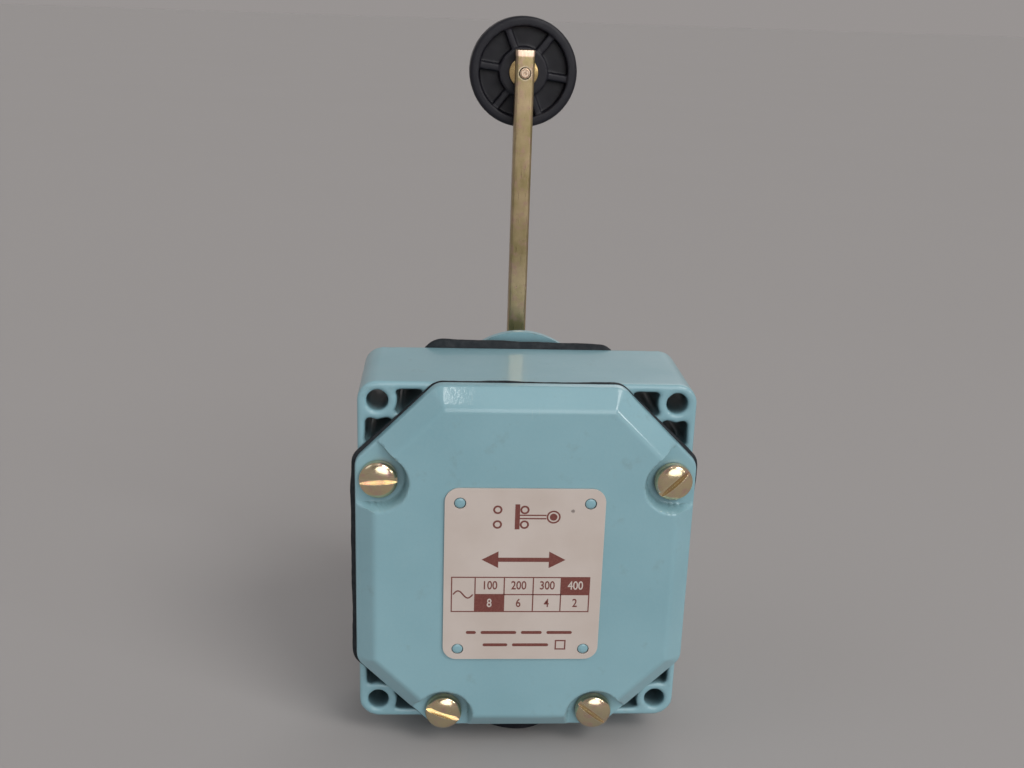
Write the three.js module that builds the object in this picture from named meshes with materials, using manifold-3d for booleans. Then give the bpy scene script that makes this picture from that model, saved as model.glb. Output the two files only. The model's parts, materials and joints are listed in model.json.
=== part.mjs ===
// A heavy-duty limit switch with a spring-return roller lever, in millimetres.
//
// X is to the right, Y runs from the front cover back to the lever, and Z is up. The pieces are laid out
// from the centre of the housing's front face, and the whole is then moved so that the origin lies under
// the middle of its box, on the surface that it stands on.

import * as THREE from "three";
import { mergeVertices } from "three/addons/utils/BufferGeometryUtils.js";
import Module from "manifold-3d";

const wasm = await Module();
wasm.setup();

// ---------------------------------------------------------------- driving dimensions

const GAP = 0.3; // clearance round a piece that sits in a hole
const SEAT = 0.05; // clearance between faces that rest on each other

// The housing is a cast frame, open at the front and at the back.
const BODY = { halfX: 42.5, halfZ: 47.5, depth: 31, corner: 5 };
const FIXING = { x: 37.5, z: 42.5, hole: 2.75, boss: 5, pad: 0.4, padRadius: 4.9 }; // for M5 bolts
const NECK = { thick: 2.2, length: 14, offset: 4 }; // joins each fixing boss to the chamber's cut-corner wall
const SKIN = 2; // outer wall beside the corner pockets
const CHAMBER_WALL = 3;
const LID_BOSS = 5.2; // round each lid screw, inside the chamber

// The cover, the gaskets and the operating head share one octagon. SUM is x + z along its cut corners.
const OCTAGON = { halfX: 43, halfZ: 48, sum: 71, round: 2.2 };
const DIAGONAL_WALL = 1; // how far the chamber's cut-corner wall reaches past the octagon
const GASKET = { thick: 1.2, proud: 0.7, width: 5.5, ear: 5 };
const LID = { flange: 2.1, rise: 4.2, slope: 5, wall: 2.2, rim: 8 };
const LID_HEIGHT = LID.flange + LID.rise;
const LID_SCREWS = [
  [-37, 23.5, 3],
  [37, 23.5, 45],
  [-20, -43, -20],
  [20, -43, -38],
]; // x, z and the angle that each slot was left at
const RECESS = 6.8;
const RECESS_REACH = 20; // how far each recess runs out, well past the lid's edge

const PAN_HEAD = { radius: 4.8, height: 3.3, shank: 2.5, reach: 9, slot: 1.3, slotDepth: 1.5 };

const CHEESE_SLOT = { width: 1, depth: 0.9 };
const CAM_SCREW = { head: 5.5, height: 3, shank: 2, reach: 6 };
const CLAMP_SCREW = { head: 4.2, height: 3, shank: 2.5 };
const SET_SCREW = { radius: 2, slot: 0.8, slotDepth: 1.2 };
const TERMINAL_SCREW = { head: 3, height: 2, shank: 1.6, reach: 9 };
const terminalHole = TERMINAL_SCREW.shank + GAP;
const BLOCK_SCREW = { head: 3.5, height: 2.6, shank: 2, reach: 11 };
const EARTH_SCREW = { head: 3.5, height: 2.4, shank: 2, reach: 9 };

const PLATE = { x: -0.4, z: -1.15, halfX: 20.1, halfZ: 23.9, thick: 0.6, corner: 3.6 };
const PEG = { x: 16.3, top: 18.8, bottom: -22.1, radius: 1.2 };

// The shaft, and all that turns with it, lies on one axis behind the housing's upper half.
const AXIS_Z = 30.5;
const SHAFT = { radius: 5, front: 12.5, shoulder: 20.2, rear: 52, square: 6.9 };
const HEAD_BOSS = { radius: 18, rear: 46, hub: 12 };
const BUSH = { outer: 6.9, rear: 43.9 };
const SEAL = { outer: 7.9, front: 44.2, rear: 45.8 };
const RING = { front: 30.9, rear: 31.9, outer: 7.4, groove: 4.2, mouth: 2 };
const RETURN_SPRING = { radius: 8.2, wire: 0.8, length: 7.2, turns: 4, front: 21.8 };
const HUB = { radius: 13, front: 46.4, rear: 63.6 };

const BAR = { width: 5.2, front: 54, below: 11, top: 125.2 };
const ROLLER = { z: 119, radius: 15, front: 60.5, width: 10, hub: 6.8, rim: 12.4, spokes: 6, spoke: 1.7 };
const WEB = 1.6; // the roller's disc between hub and rim
const WASHER = { radius: 4.05, thick: 0.9 };
const PIN = { rivet: 1.45, axle: 3, head: 5, headThick: 1.2 };

// The cam rises evenly round its lower side, so the plunger's travel is in proportion to the turn.
const CAM = { front: 12.3, rear: 20, middle: 9.5, rise: 2.6, spread: THREE.MathUtils.degToRad(80) };

const PLUNGER = { y: 16, radius: 2.5, collar: 4.2, collarHeight: 2, spigot: 1.6, bottom: -21 };
const PLUNGER_SPRING = { radius: 3.1, wire: 0.4, length: 7.8, turns: 5 };
const BRIDGE = { top: -3.3, thick: 1.2, half: 13.5, depth: 6, tip: 1.6, tipThick: 0.7 };
const BLOCK = { halfX: 30, front: 5, rear: 24, bottom: -16, top: 9 };
const CAVITY = { halfX: 17.5, rear: 20.5, bottom: -13.5, top: 6.5 };
const FOOT = { halfX: 18, front: 18, bottom: -23, screwX: 12, screwZ: -19.5 };
const CONTACT = { thick: 1.5, height: 4, upper: 0.4, lower: -12.2, inner: 9, outer: 29 };
const TERMINAL_X = 23.5;
const RIB = { front: 24.3, rear: 30.9, bottom: -24, top: -17 };
const EARTH = { x: -29, z: -33, boss: 4.8, front: 8, rear: 23 };

const ENTRY = { y: 15.5, boss: 14, top: -38.5, bore: 10.2 };
const PLUG = { thread: 9.9, across: 24, head: 5.45, hollow: 7.5, turn: 8, washer: 1.15, washerOuter: 12.2 };

const FINE = 24;
const COARSE = 16;

// ---------------------------------------------------------------- colours and finishes

const finish = (color, roughness, metalness) => ({ color, roughness, metalness });
const PAINT = finish(0x8fb6bd, 0.42, 0);
const RUBBER = finish(0x22262b, 0.8, 0);
const PASSIVATED = finish(0xb9a06a, 0.35, 0.9);
const BRASS = finish(0xc2a25a, 0.3, 0.95);
const STEEL = finish(0x9a9a98, 0.35, 0.95);
const CREAM = finish(0xe4dccf, 0.5, 0);
const BLACK_PLASTIC = finish(0x1d1e22, 0.55, 0);
const BAKELITE = finish(0x4a2d1e, 0.5, 0);
const WHITE_PLASTIC = finish(0xd9d6cc, 0.5, 0);

// ---------------------------------------------------------------- solids

function solid(geometry) {
  const bare = geometry.clone();
  bare.deleteAttribute("normal");
  bare.deleteAttribute("uv");
  const merged = mergeVertices(bare, 1e-4);
  return new wasm.Manifold(
    new wasm.Mesh({
      numProp: 3,
      vertProperties: new Float32Array(merged.attributes.position.array),
      triVerts: new Uint32Array(merged.index.array),
    }),
  );
}

function geometryOf(shape) {
  const mesh = shape.getMesh();
  const geometry = new THREE.BufferGeometry();
  geometry.setAttribute("position", new THREE.BufferAttribute(mesh.vertProperties, 3));
  geometry.setIndex(new THREE.BufferAttribute(mesh.triVerts, 1));
  const flat = geometry.toNonIndexed();
  flat.computeVertexNormals();
  return flat;
}

const join = (first, ...others) => others.reduce((sum, other) => sum.add(other), first);
const cut = (first, ...others) => others.reduce((rest, other) => rest.subtract(other), first);

function outline(points, radius, curveSegments = 3) {
  const corners = points.map(([x, z]) => new THREE.Vector2(x, z));
  const shape = new THREE.Shape();
  shape.userData = { curveSegments };
  corners.forEach((corner, i) => {
    const before = corners[(i + corners.length - 1) % corners.length];
    const after = corners[(i + 1) % corners.length];
    const entry = corner.clone().add(before.clone().sub(corner).setLength(radius));
    const leave = corner.clone().add(after.clone().sub(corner).setLength(radius));
    if (i === 0) shape.moveTo(entry.x, entry.y);
    else shape.lineTo(entry.x, entry.y);
    shape.quadraticCurveTo(corner.x, corner.y, leave.x, leave.y);
  });
  shape.closePath();
  return shape;
}

function octagonPoints(halfX, halfZ, sum) {
  const [a, b] = [sum - halfX, sum - halfZ];
  return [
    [halfX, -a],
    [halfX, a],
    [b, halfZ],
    [-b, halfZ],
    [-halfX, a],
    [-halfX, -a],
    [-b, -halfZ],
    [b, -halfZ],
  ];
}

// The shared octagon, drawn in by inset on every side.
function octagon(inset) {
  const points = octagonPoints(OCTAGON.halfX - inset, OCTAGON.halfZ - inset, OCTAGON.sum - inset * Math.SQRT2);
  return outline(points, OCTAGON.round);
}

const rectangle = (halfX, halfZ) => [
  [halfX, -halfZ],
  [halfX, halfZ],
  [-halfX, halfZ],
  [-halfX, -halfZ],
];

// A flat outline in X and Z, made thick from y = front to y = rear.
function slab(shape, front, rear) {
  const geometry = new THREE.ExtrudeGeometry(shape, {
    depth: rear - front,
    bevelEnabled: false,
    curveSegments: shape.userData?.curveSegments ?? 12,
  });
  return solid(geometry.rotateX(Math.PI / 2).translate(0, rear, 0));
}

function rod(radius, front, rear, x = 0, z = AXIS_Z, segments = FINE) {
  const geometry = new THREE.CylinderGeometry(radius, radius, rear - front, segments);
  return solid(geometry.translate(x, (front + rear) / 2, z));
}

function post(radius, bottom, top, x, y, segments = FINE) {
  const geometry = new THREE.CylinderGeometry(radius, radius, top - bottom, segments);
  return solid(geometry.rotateX(Math.PI / 2).translate(x, y, (bottom + top) / 2));
}

function box(x0, x1, y0, y1, z0, z1) {
  const geometry = new THREE.BoxGeometry(x1 - x0, y1 - y0, z1 - z0);
  return solid(geometry.translate((x0 + x1) / 2, (y0 + y1) / 2, (z0 + z1) / 2));
}

// A turned piece on the Y axis. The profile lists radius and y, and its outer side runs from front to rear.
function turned(profile, segments = FINE) {
  const points = profile.map(([radius, y]) => new THREE.Vector2(radius, y));
  return solid(new THREE.LatheGeometry(points, segments));
}

// A ring on the shaft's axis.
const tube = (outer, inner, front, rear, segments = FINE) =>
  cut(rod(outer, front, rear, 0, AXIS_Z, segments), rod(inner, front - 1, rear + 1, 0, AXIS_Z, segments));

class Helix extends THREE.Curve {
  constructor(radius, length, turns) {
    super();
    Object.assign(this, { radius, length, turns });
  }

  getPoint(t, target = new THREE.Vector3()) {
    const angle = 2 * Math.PI * this.turns * t;
    return target.set(this.radius * Math.cos(angle), this.length * t, this.radius * Math.sin(angle));
  }
}

// A coil on the Y axis, from y = 0 to y = length.
function coil({ radius, wire, length, turns }) {
  const section = new THREE.Shape().absarc(0, 0, wire, 0, 2 * Math.PI);
  return new THREE.ExtrudeGeometry(section, {
    steps: turns * 12,
    curveSegments: 3,
    extrudePath: new Helix(radius, length, turns),
  });
}

// ---------------------------------------------------------------- the model's tree

const assembly = new THREE.Group();

function piece(name, shape, look, parent = assembly) {
  const geometry = shape.isBufferGeometry ? shape : geometryOf(shape);
  const mesh = new THREE.Mesh(geometry, new THREE.MeshStandardMaterial(look));
  mesh.name = name;
  parent.add(mesh);
  return mesh;
}

// ---------------------------------------------------------------- housing

function cornerPockets(signX, signZ) {
  const reach = OCTAGON.sum + DIAGONAL_WALL;
  const [x, z] = [BODY.halfX - SKIN, BODY.halfZ - SKIN];
  const triangle = outline(
    [
      [x, z],
      [reach - z, z],
      [x, reach - x],
    ].map(([px, pz]) => [px * signX, pz * signZ]),
    0.6,
  );
  const neck = new THREE.BoxGeometry(NECK.length, BODY.depth, NECK.thick);
  neck.rotateY((signX * signZ * -Math.PI) / 4);
  neck.translate(signX * (FIXING.x - NECK.offset), BODY.depth / 2, signZ * (FIXING.z - NECK.offset));
  const boss = rod(FIXING.boss, -1, BODY.depth + 1, signX * FIXING.x, signZ * FIXING.z);
  return cut(slab(triangle, -1, BODY.depth + 1), boss, solid(neck));
}

function housing() {
  const block = slab(outline(rectangle(BODY.halfX, BODY.halfZ), BODY.corner, 6), 0, BODY.depth);
  const inside = octagonPoints(
    BODY.halfX - CHAMBER_WALL,
    BODY.halfZ - CHAMBER_WALL,
    OCTAGON.sum + DIAGONAL_WALL - CHAMBER_WALL * Math.SQRT2,
  );
  const chamber = slab(outline(inside, OCTAGON.round), -1, BODY.depth + 1);
  const bosses = LID_SCREWS.map(([x, z]) => rod(LID_BOSS, 0, BODY.depth, x, z).intersect(block));
  const rib = box(-BODY.halfX + 1, BODY.halfX - 1, RIB.front, RIB.rear, RIB.bottom, RIB.top);
  const entryBoss = post(ENTRY.boss, -BODY.halfZ + 1, ENTRY.top, 0, ENTRY.y);
  const earthBoss = rod(EARTH.boss, EARTH.front, EARTH.rear, EARTH.x, EARTH.z, COARSE);
  const corners = [
    [1, 1],
    [1, -1],
    [-1, 1],
    [-1, -1],
  ];
  const pads = corners.map(([sx, sz]) =>
    rod(FIXING.padRadius, BODY.depth - 1, BODY.depth + FIXING.pad, sx * FIXING.x, sz * FIXING.z),
  );
  const cast = join(cut(block, chamber), ...bosses, ...pads, rib, entryBoss, earthBoss);
  return cut(
    cast,
    ...corners.map(([sx, sz]) => cornerPockets(sx, sz)),
    ...corners.map(([sx, sz]) => rod(FIXING.hole, -1, BODY.depth + 1, sx * FIXING.x, sz * FIXING.z)),
    ...LID_SCREWS.map(([x, z]) => rod(PAN_HEAD.shank + GAP, -1, BODY.depth + 1, x, z, COARSE)),
    ...[-1, 1].map((side) =>
      rod(BLOCK_SCREW.shank + GAP, RIB.front - 1, RIB.rear + 1, side * FOOT.screwX, FOOT.screwZ, COARSE),
    ),
    rod(EARTH_SCREW.shank + GAP, EARTH.front - 1, EARTH.rear - 3, EARTH.x, EARTH.z, COARSE),
    post(ENTRY.bore, -BODY.halfZ - 1, ENTRY.top + 1, 0, ENTRY.y),
  );
}

function gasket(front) {
  const ring = cut(
    slab(octagon(-GASKET.proud), front, front + GASKET.thick),
    slab(octagon(GASKET.width), front - 1, front + GASKET.thick + 1),
  );
  const ears = LID_SCREWS.map(([x, z]) => rod(GASKET.ear, front, front + GASKET.thick, x, z, COARSE));
  const whole = slab(octagon(-GASKET.proud), front, front + GASKET.thick);
  const holes = LID_SCREWS.map(([x, z]) => rod(PAN_HEAD.shank + GAP, front - 1, front + 3, x, z, COARSE));
  return cut(join(ring, ...ears.map((ear) => ear.intersect(whole))), ...holes);
}

// ---------------------------------------------------------------- front cover and operating head

// The recess round a lid screw: a round floor that runs straight out to the side and to the cut corner.
function recess([x, z]) {
  const centre = new THREE.Vector2(x, z);
  const corner = new THREE.Vector2(Math.sign(x), Math.sign(z)).setLength(1);
  const nearSide = OCTAGON.halfX - Math.abs(x) < OCTAGON.halfZ - Math.abs(z);
  const side = nearSide ? new THREE.Vector2(Math.sign(x), 0) : new THREE.Vector2(0, Math.sign(z));
  const turn = Math.sign(side.cross(corner));
  const [cornerWall, sideWall] = [corner, side].map((out, i) => {
    const start = out.clone().rotateAround(new THREE.Vector2(), ((i ? -turn : turn) * Math.PI) / 2);
    start.multiplyScalar(RECESS).add(centre);
    return [start, start.clone().addScaledVector(out, RECESS_REACH)];
  });
  const mouth = new THREE.Shape([...cornerWall, ...sideWall.reverse()]);
  const round = rod(RECESS, -LID_HEIGHT - 1, -LID.flange, x, z);
  return join(round, slab(mouth, -LID_HEIGHT - 1, -LID.flange));
}

// The octagonal lid that both are made from, standing on y = 0 and rising towards negative y.
function lid() {
  const flange = slab(octagon(0), -LID.flange, 0);
  const frustum = new THREE.ExtrudeGeometry(octagon(LID.slope), {
    depth: 0.5,
    bevelThickness: LID.rise,
    bevelSize: LID.slope,
    bevelSegments: 1,
    curveSegments: 3,
  });
  const raised = solid(frustum.rotateX(Math.PI / 2).translate(0, -LID.flange + 0.4, 0));
  const above = box(-60, 60, -LID.flange - LID.rise, -LID.flange + 0.1, -60, 60);
  const recesses = LID_SCREWS.map(recess);
  const holes = LID_SCREWS.map(([x, z]) => rod(PAN_HEAD.shank + GAP, -30, 30, x, z, COARSE));
  const islands = LID_SCREWS.map(([x, z]) => rod(RECESS + LID.wall, -30, 30, x, z));
  const hollow = cut(slab(octagon(LID.rim), LID.wall - LID.flange - LID.rise, 1), ...islands);
  return { shell: cut(join(flange, raised.intersect(above)), ...recesses, ...holes), hollow };
}

const COVER_SEAT = -GASKET.thick - 2 * SEAT;
const COVER_TOP = COVER_SEAT - LID_HEIGHT;
const HEAD_SEAT = BODY.depth + GASKET.thick + 2 * SEAT;

function frontCover() {
  const { shell, hollow } = lid();
  const pegs = [-1, 1].flatMap((side) =>
    [PEG.top, PEG.bottom].map((z) =>
      rod(PEG.radius, COVER_TOP - PLATE.thick, COVER_TOP + 1, PLATE.x + side * PEG.x, z, 12),
    ),
  );
  return join(cut(shell, hollow).translate([0, COVER_SEAT, 0]), ...pegs);
}

function operatingHead() {
  const { shell, hollow } = lid();
  const back = (shape) => shape.mirror([0, 1, 0]).translate([0, HEAD_SEAT, 0]);
  const boss = rod(HEAD_BOSS.radius, HEAD_SEAT + 1, HEAD_BOSS.rear, 0, AXIS_Z, 40);
  const innerHub = rod(HEAD_BOSS.hub, HEAD_SEAT - 2, HEAD_BOSS.rear - 1);
  return cut(
    join(back(shell), boss),
    cut(back(hollow), innerHub),
    rod(BUSH.outer + GAP, HEAD_SEAT - 1, HEAD_BOSS.rear + 1),
    rod(SEAL.outer + GAP, SEAL.front - 0.2, HEAD_BOSS.rear + 1),
  );
}

// ---------------------------------------------------------------- screws

// A slotted pan-head screw on the Y axis, its head's underside at y = 0 and its shank towards positive y.
function panHeadScrew(segments = 20) {
  const { radius, height, shank, reach, slot, slotDepth } = PAN_HEAD;
  const body = turned(
    [
      [0, -height],
      [0.55 * radius, -0.96 * height],
      [0.86 * radius, -0.82 * height],
      [radius, -0.5 * height],
      [radius, 0],
      [shank, 0],
      [shank, reach],
      [0, reach],
    ],
    segments,
  );
  return cut(body, box(-radius, radius, -height - 1, slotDepth - height, -slot / 2, slot / 2));
}

// A cheese-head screw of the same layout, for the places inside.
function cheeseHeadScrew({ head, height, shank, reach }) {
  const body = join(rod(head, -height, 0, 0, 0, COARSE), rod(shank, -height / 2, reach, 0, 0, 12));
  const half = CHEESE_SLOT.width / 2;
  return cut(body, box(-head, head, -height - 1, CHEESE_SLOT.depth - height, -half, half));
}

function place(mesh, x, y, z, slotDegrees, facingRear = false) {
  mesh.position.set(x, y, z);
  mesh.rotation.order = "ZYX";
  mesh.rotation.set(0, THREE.MathUtils.degToRad(-slotDegrees), facingRear ? Math.PI : 0);
}

// ---------------------------------------------------------------- lever, shaft and roller

function leverShaft() {
  const { radius, front, shoulder, rear, square } = SHAFT;
  const half = square / 2;
  const round = cut(
    rod(radius, shoulder, rear),
    tube(radius + 1, RING.groove, RING.front - 0.2, RING.rear + 0.2),
  );
  const squared = box(-half, half, front, shoulder + 1, AXIS_Z - half, AXIS_Z + half);
  return cut(join(round, squared), rod(CAM_SCREW.shank + GAP, front - 1, shoulder - 1, 0, AXIS_Z, COARSE));
}

// An open ring, clipped into the shaft's groove in front of the bush.
function retainingRing() {
  const ring = tube(RING.outer, RING.groove + GAP, RING.front, RING.rear);
  const { mouth, front, rear, outer } = RING;
  return cut(ring, box(-mouth, mouth, front - 1, rear + 1, AXIS_Z - outer - 1, AXIS_Z));
}

function cam() {
  const { front, rear, middle, rise, spread } = CAM;
  const steps = 48;
  const shape = new THREE.Shape();
  for (let i = 0; i < steps; i += 1) {
    const angle = (2 * Math.PI * i) / steps - spread;
    const blend = (angle - spread) / (2 * Math.PI - 2 * spread);
    const radius = angle <= spread ? middle + rise * angle : middle + rise * spread * (1 - 2 * blend);
    const x = radius * Math.sin(angle);
    const z = AXIS_Z - radius * Math.cos(angle);
    if (i === 0) shape.moveTo(x, z);
    else shape.lineTo(x, z);
  }
  shape.closePath();
  const hole = SHAFT.square / 2 + GAP;
  return cut(slab(shape, front, rear), box(-hole, hole, front - 1, rear + 1, AXIS_Z - hole, AXIS_Z + hole));
}

function leverHub() {
  const half = BAR.width / 2 + GAP;
  const rearOfBar = BAR.front + BAR.width;
  const bore = SET_SCREW.radius + GAP;
  const setScrew = new THREE.CylinderGeometry(bore, bore, HUB.radius, COARSE);
  setScrew.rotateZ(Math.PI / 2).translate(HUB.radius / 2 + 3, (HUB.front + SHAFT.rear) / 2, AXIS_Z);
  return cut(
    rod(HUB.radius, HUB.front, HUB.rear, 0, AXIS_Z, FINE),
    rod(SHAFT.radius + GAP, HUB.front - 1, SHAFT.rear + GAP),
    box(-half, half, BAR.front - GAP, rearOfBar + GAP, AXIS_Z - 20, AXIS_Z + 20),
    rod(CLAMP_SCREW.shank + GAP, rearOfBar, HUB.rear + 1, 0, AXIS_Z, COARSE),
    solid(setScrew),
  );
}

function hubSetScrew() {
  const length = HUB.radius - SHAFT.radius - 2 * GAP;
  const middle = (HUB.front + SHAFT.rear) / 2;
  const tip = SHAFT.radius + GAP + length;
  const { radius, slot, slotDepth } = SET_SCREW;
  const body = new THREE.CylinderGeometry(radius, radius, length, COARSE);
  body.rotateZ(Math.PI / 2).translate(tip - length / 2, middle, AXIS_Z);
  const [low, high] = [AXIS_Z - radius - 1, AXIS_Z + radius + 1];
  return cut(solid(body), box(tip - slotDepth, tip + 1, middle - slot / 2, middle + slot / 2, low, high));
}

function leverBar() {
  const half = BAR.width / 2;
  const section = outline(
    [
      [half, -half],
      [half, half],
      [-half, half],
      [-half, -half],
    ],
    0.7,
    2,
  );
  const length = BAR.top - (AXIS_Z - BAR.below);
  const geometry = new THREE.ExtrudeGeometry(section, { depth: length, bevelEnabled: false, curveSegments: 2 });
  const bar = solid(geometry.translate(0, BAR.front + half, AXIS_Z - BAR.below));
  return cut(bar, rod(PIN.rivet + GAP, BAR.front - 1, BAR.front + BAR.width + 1, 0, ROLLER.z, COARSE));
}

const BAR_REAR = BAR.front + BAR.width;

function rollerWasher() {
  const [front, rear] = [BAR_REAR + SEAT, BAR_REAR + SEAT + WASHER.thick];
  return cut(
    rod(WASHER.radius, front, rear, 0, ROLLER.z),
    rod(PIN.rivet + GAP, front - 1, rear + 1, 0, ROLLER.z, COARSE),
  );
}

function rollerPin() {
  const axleFront = BAR_REAR + 1 + SEAT;
  const axleRear = ROLLER.front + ROLLER.width + 0.9;
  const z = ROLLER.z;
  return join(
    rod(PIN.rivet, BAR.front - 0.5, axleFront + 1, 0, z, COARSE),
    rod(PIN.axle, axleFront, axleRear + 0.5, 0, z),
    rod(PIN.head, axleRear, axleRear + PIN.headThick, 0, z),
  );
}

// The roller on the Y axis, from y = 0 to y = width: rim, web and hub turned in one, then the spokes.
function roller() {
  const { radius, width, hub, rim, spokes, spoke } = ROLLER;
  const bore = PIN.axle + 0.25;
  const [webFront, webRear] = [(width - WEB) / 2, (width + WEB) / 2];
  const profile = [
    [bore, 0],
    [hub, 0],
    [hub, webFront],
    [rim, webFront],
    [rim, 0],
    [radius - 0.6, 0],
    [radius, 0.6],
    [radius, width - 0.6],
    [radius - 0.6, width],
    [rim, width],
    [rim, webRear],
    [hub, webRear],
    [hub, width],
    [bore, width],
    [bore, 0],
  ];
  const arms = Array.from({ length: spokes }, (_, i) => {
    const arm = new THREE.BoxGeometry(rim - hub + 1, width - 2, spoke);
    arm.translate((rim + hub) / 2, width / 2, 0);
    return solid(arm.rotateY((2 * Math.PI * i) / spokes));
  });
  return join(turned(profile, 40), ...arms);
}

// ---------------------------------------------------------------- contact mechanism

// The plunger stands on the Z axis here, and its tip rides under the cam.
function plunger() {
  const tip = AXIS_Z - CAM.middle - 0.35;
  const collarTop = BRIDGE.top + PLUNGER.collarHeight;
  const profile = [
    [0, PLUNGER.bottom],
    [PLUNGER.spigot, PLUNGER.bottom],
    [PLUNGER.spigot, BRIDGE.top + SEAT],
    [PLUNGER.collar, BRIDGE.top + SEAT],
    [PLUNGER.collar, collarTop],
    [PLUNGER.radius, collarTop],
    [PLUNGER.radius, tip - 1.8],
    [0.7 * PLUNGER.radius, tip - 0.6],
    [0, tip],
  ];
  const points = profile.map(([radius, z]) => new THREE.Vector2(radius, z));
  const geometry = new THREE.LatheGeometry(points, 20).rotateX(Math.PI / 2);
  return solid(geometry.translate(0, PLUNGER.y, 0));
}

function contactBridge() {
  const { top, thick, half, depth, tip, tipThick } = BRIDGE;
  const bar = box(-half, half, PLUNGER.y - depth / 2, PLUNGER.y + depth / 2, top - thick, top);
  const tips = [-1, 1].map((side) =>
    post(tip, top - thick - tipThick, top + tipThick, side * (half - 2.2), PLUNGER.y, COARSE),
  );
  return cut(join(bar, ...tips), post(PLUNGER.spigot + GAP, top - 5, top + 1, 0, PLUNGER.y, COARSE));
}

function contactBlock() {
  const { halfX, front, rear, bottom, top } = BLOCK;
  const body = join(
    box(-halfX, halfX, front, rear, bottom, top),
    box(-FOOT.halfX, FOOT.halfX, FOOT.front, rear, FOOT.bottom, bottom + 1),
  );
  const sides = [-1, 1];
  const contactMiddles = [CONTACT.upper, CONTACT.lower].map((z) => z + CONTACT.height / 2);
  return cut(
    body,
    box(-CAVITY.halfX, CAVITY.halfX, front - 1, CAVITY.rear, CAVITY.bottom, CAVITY.top),
    post(PLUNGER.radius + GAP, 0, top + 1, 0, PLUNGER.y, 20),
    post(PLUNGER.spigot + GAP, bottom - 9, 0, 0, PLUNGER.y, COARSE),
    ...sides.flatMap((side) =>
      contactMiddles.map((z) => rod(terminalHole, front - 1, front + 11, side * TERMINAL_X, z, 12)),
    ),
    ...sides.map((side) =>
      rod(BLOCK_SCREW.shank + GAP, FOOT.front - 1, rear + 1, side * FOOT.screwX, FOOT.screwZ, COARSE),
    ),
  );
}

// A strip on edge: the terminal pad in front of the block, a web into the cavity and the contact finger.
function fixedContact(side, z) {
  const { thick, height, inner, outer } = CONTACT;
  const web = CAVITY.halfX - GAP;
  const padRear = BLOCK.front - SEAT;
  const padFront = padRear - thick;
  const fingerRear = PLUNGER.y + 1.6;
  const plan = new THREE.Shape(
    [
      [outer, padFront],
      [outer, padRear],
      [web, padRear],
      [web, fingerRear],
      [inner, fingerRear],
      [inner, fingerRear - 3.2],
      [web - thick, fingerRear - 3.2],
      [web - thick, padFront],
    ].map(([x, y]) => new THREE.Vector2(side * x, y)),
  );
  const geometry = new THREE.ExtrudeGeometry(plan, { depth: height, bevelEnabled: false });
  const hole = rod(terminalHole, padFront - 1, padRear + 1, side * TERMINAL_X, z + height / 2, 12);
  return cut(solid(geometry.translate(0, 0, z)), hole);
}

// ---------------------------------------------------------------- cable entry

function hexagon(across) {
  const corner = across / Math.sqrt(3);
  return new THREE.CylinderGeometry(corner, corner, 1, 6);
}

const PLUG_TOP = -BODY.halfZ - SEAT - PLUG.washer - SEAT;
const FLOOR = PLUG_TOP - PLUG.head;

function cablePlug() {
  const head = hexagon(PLUG.across).scale(1, PLUG.head, 1).rotateX(Math.PI / 2);
  head.rotateZ(THREE.MathUtils.degToRad(PLUG.turn)).translate(0, ENTRY.y, FLOOR + PLUG.head / 2);
  return cut(
    join(solid(head), post(PLUG.thread, PLUG_TOP - 1, ENTRY.top - 0.5, 0, ENTRY.y)),
    post(PLUG.hollow, PLUG_TOP + 1, ENTRY.top + 5, 0, ENTRY.y, COARSE),
  );
}

function plugWasher() {
  const [bottom, top] = [PLUG_TOP + SEAT, -BODY.halfZ - SEAT];
  return cut(
    post(PLUG.washerOuter, bottom, top, 0, ENTRY.y),
    post(PLUG.thread + GAP, bottom - 1, top + 1, 0, ENTRY.y),
  );
}

// ---------------------------------------------------------------- assembly

piece("housing", housing(), PAINT);
piece("front_gasket", gasket(-GASKET.thick - SEAT), RUBBER);
piece("rear_gasket", gasket(BODY.depth + SEAT), RUBBER);
piece("front_cover", frontCover(), PAINT);
piece("operating_head", operatingHead(), PAINT);

LID_SCREWS.forEach(([x, z, angle], i) => {
  const screw = panHeadScrew();
  place(piece(`cover_screw_${i + 1}`, screw, PASSIVATED), x, COVER_SEAT - LID.flange - SEAT, z, angle);
  place(piece(`head_screw_${i + 1}`, screw, PASSIVATED), x, HEAD_SEAT + LID.flange + SEAT, z, angle + 30, true);
});

const plateShape = outline(rectangle(PLATE.halfX, PLATE.halfZ), PLATE.corner, 4);
const plateHoles = [-1, 1].flatMap((side) =>
  [PEG.top, PEG.bottom].map((z) => rod(PEG.radius + GAP, -5, 5, side * PEG.x, z - PLATE.z, 12)),
);
const plate = piece("rating_plate", cut(slab(plateShape, -PLATE.thick, 0), ...plateHoles), CREAM);
plate.position.set(PLATE.x, COVER_TOP - SEAT, PLATE.z);

piece("bearing_bush", tube(BUSH.outer, SHAFT.radius + GAP, HEAD_SEAT + 0.1, BUSH.rear), BRASS);
piece("shaft_seal", tube(SEAL.outer, SHAFT.radius + GAP, SEAL.front, SEAL.rear), RUBBER);

const spring = piece("return_spring", coil(RETURN_SPRING), STEEL);
spring.position.set(0, RETURN_SPRING.front, AXIS_Z);

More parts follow.
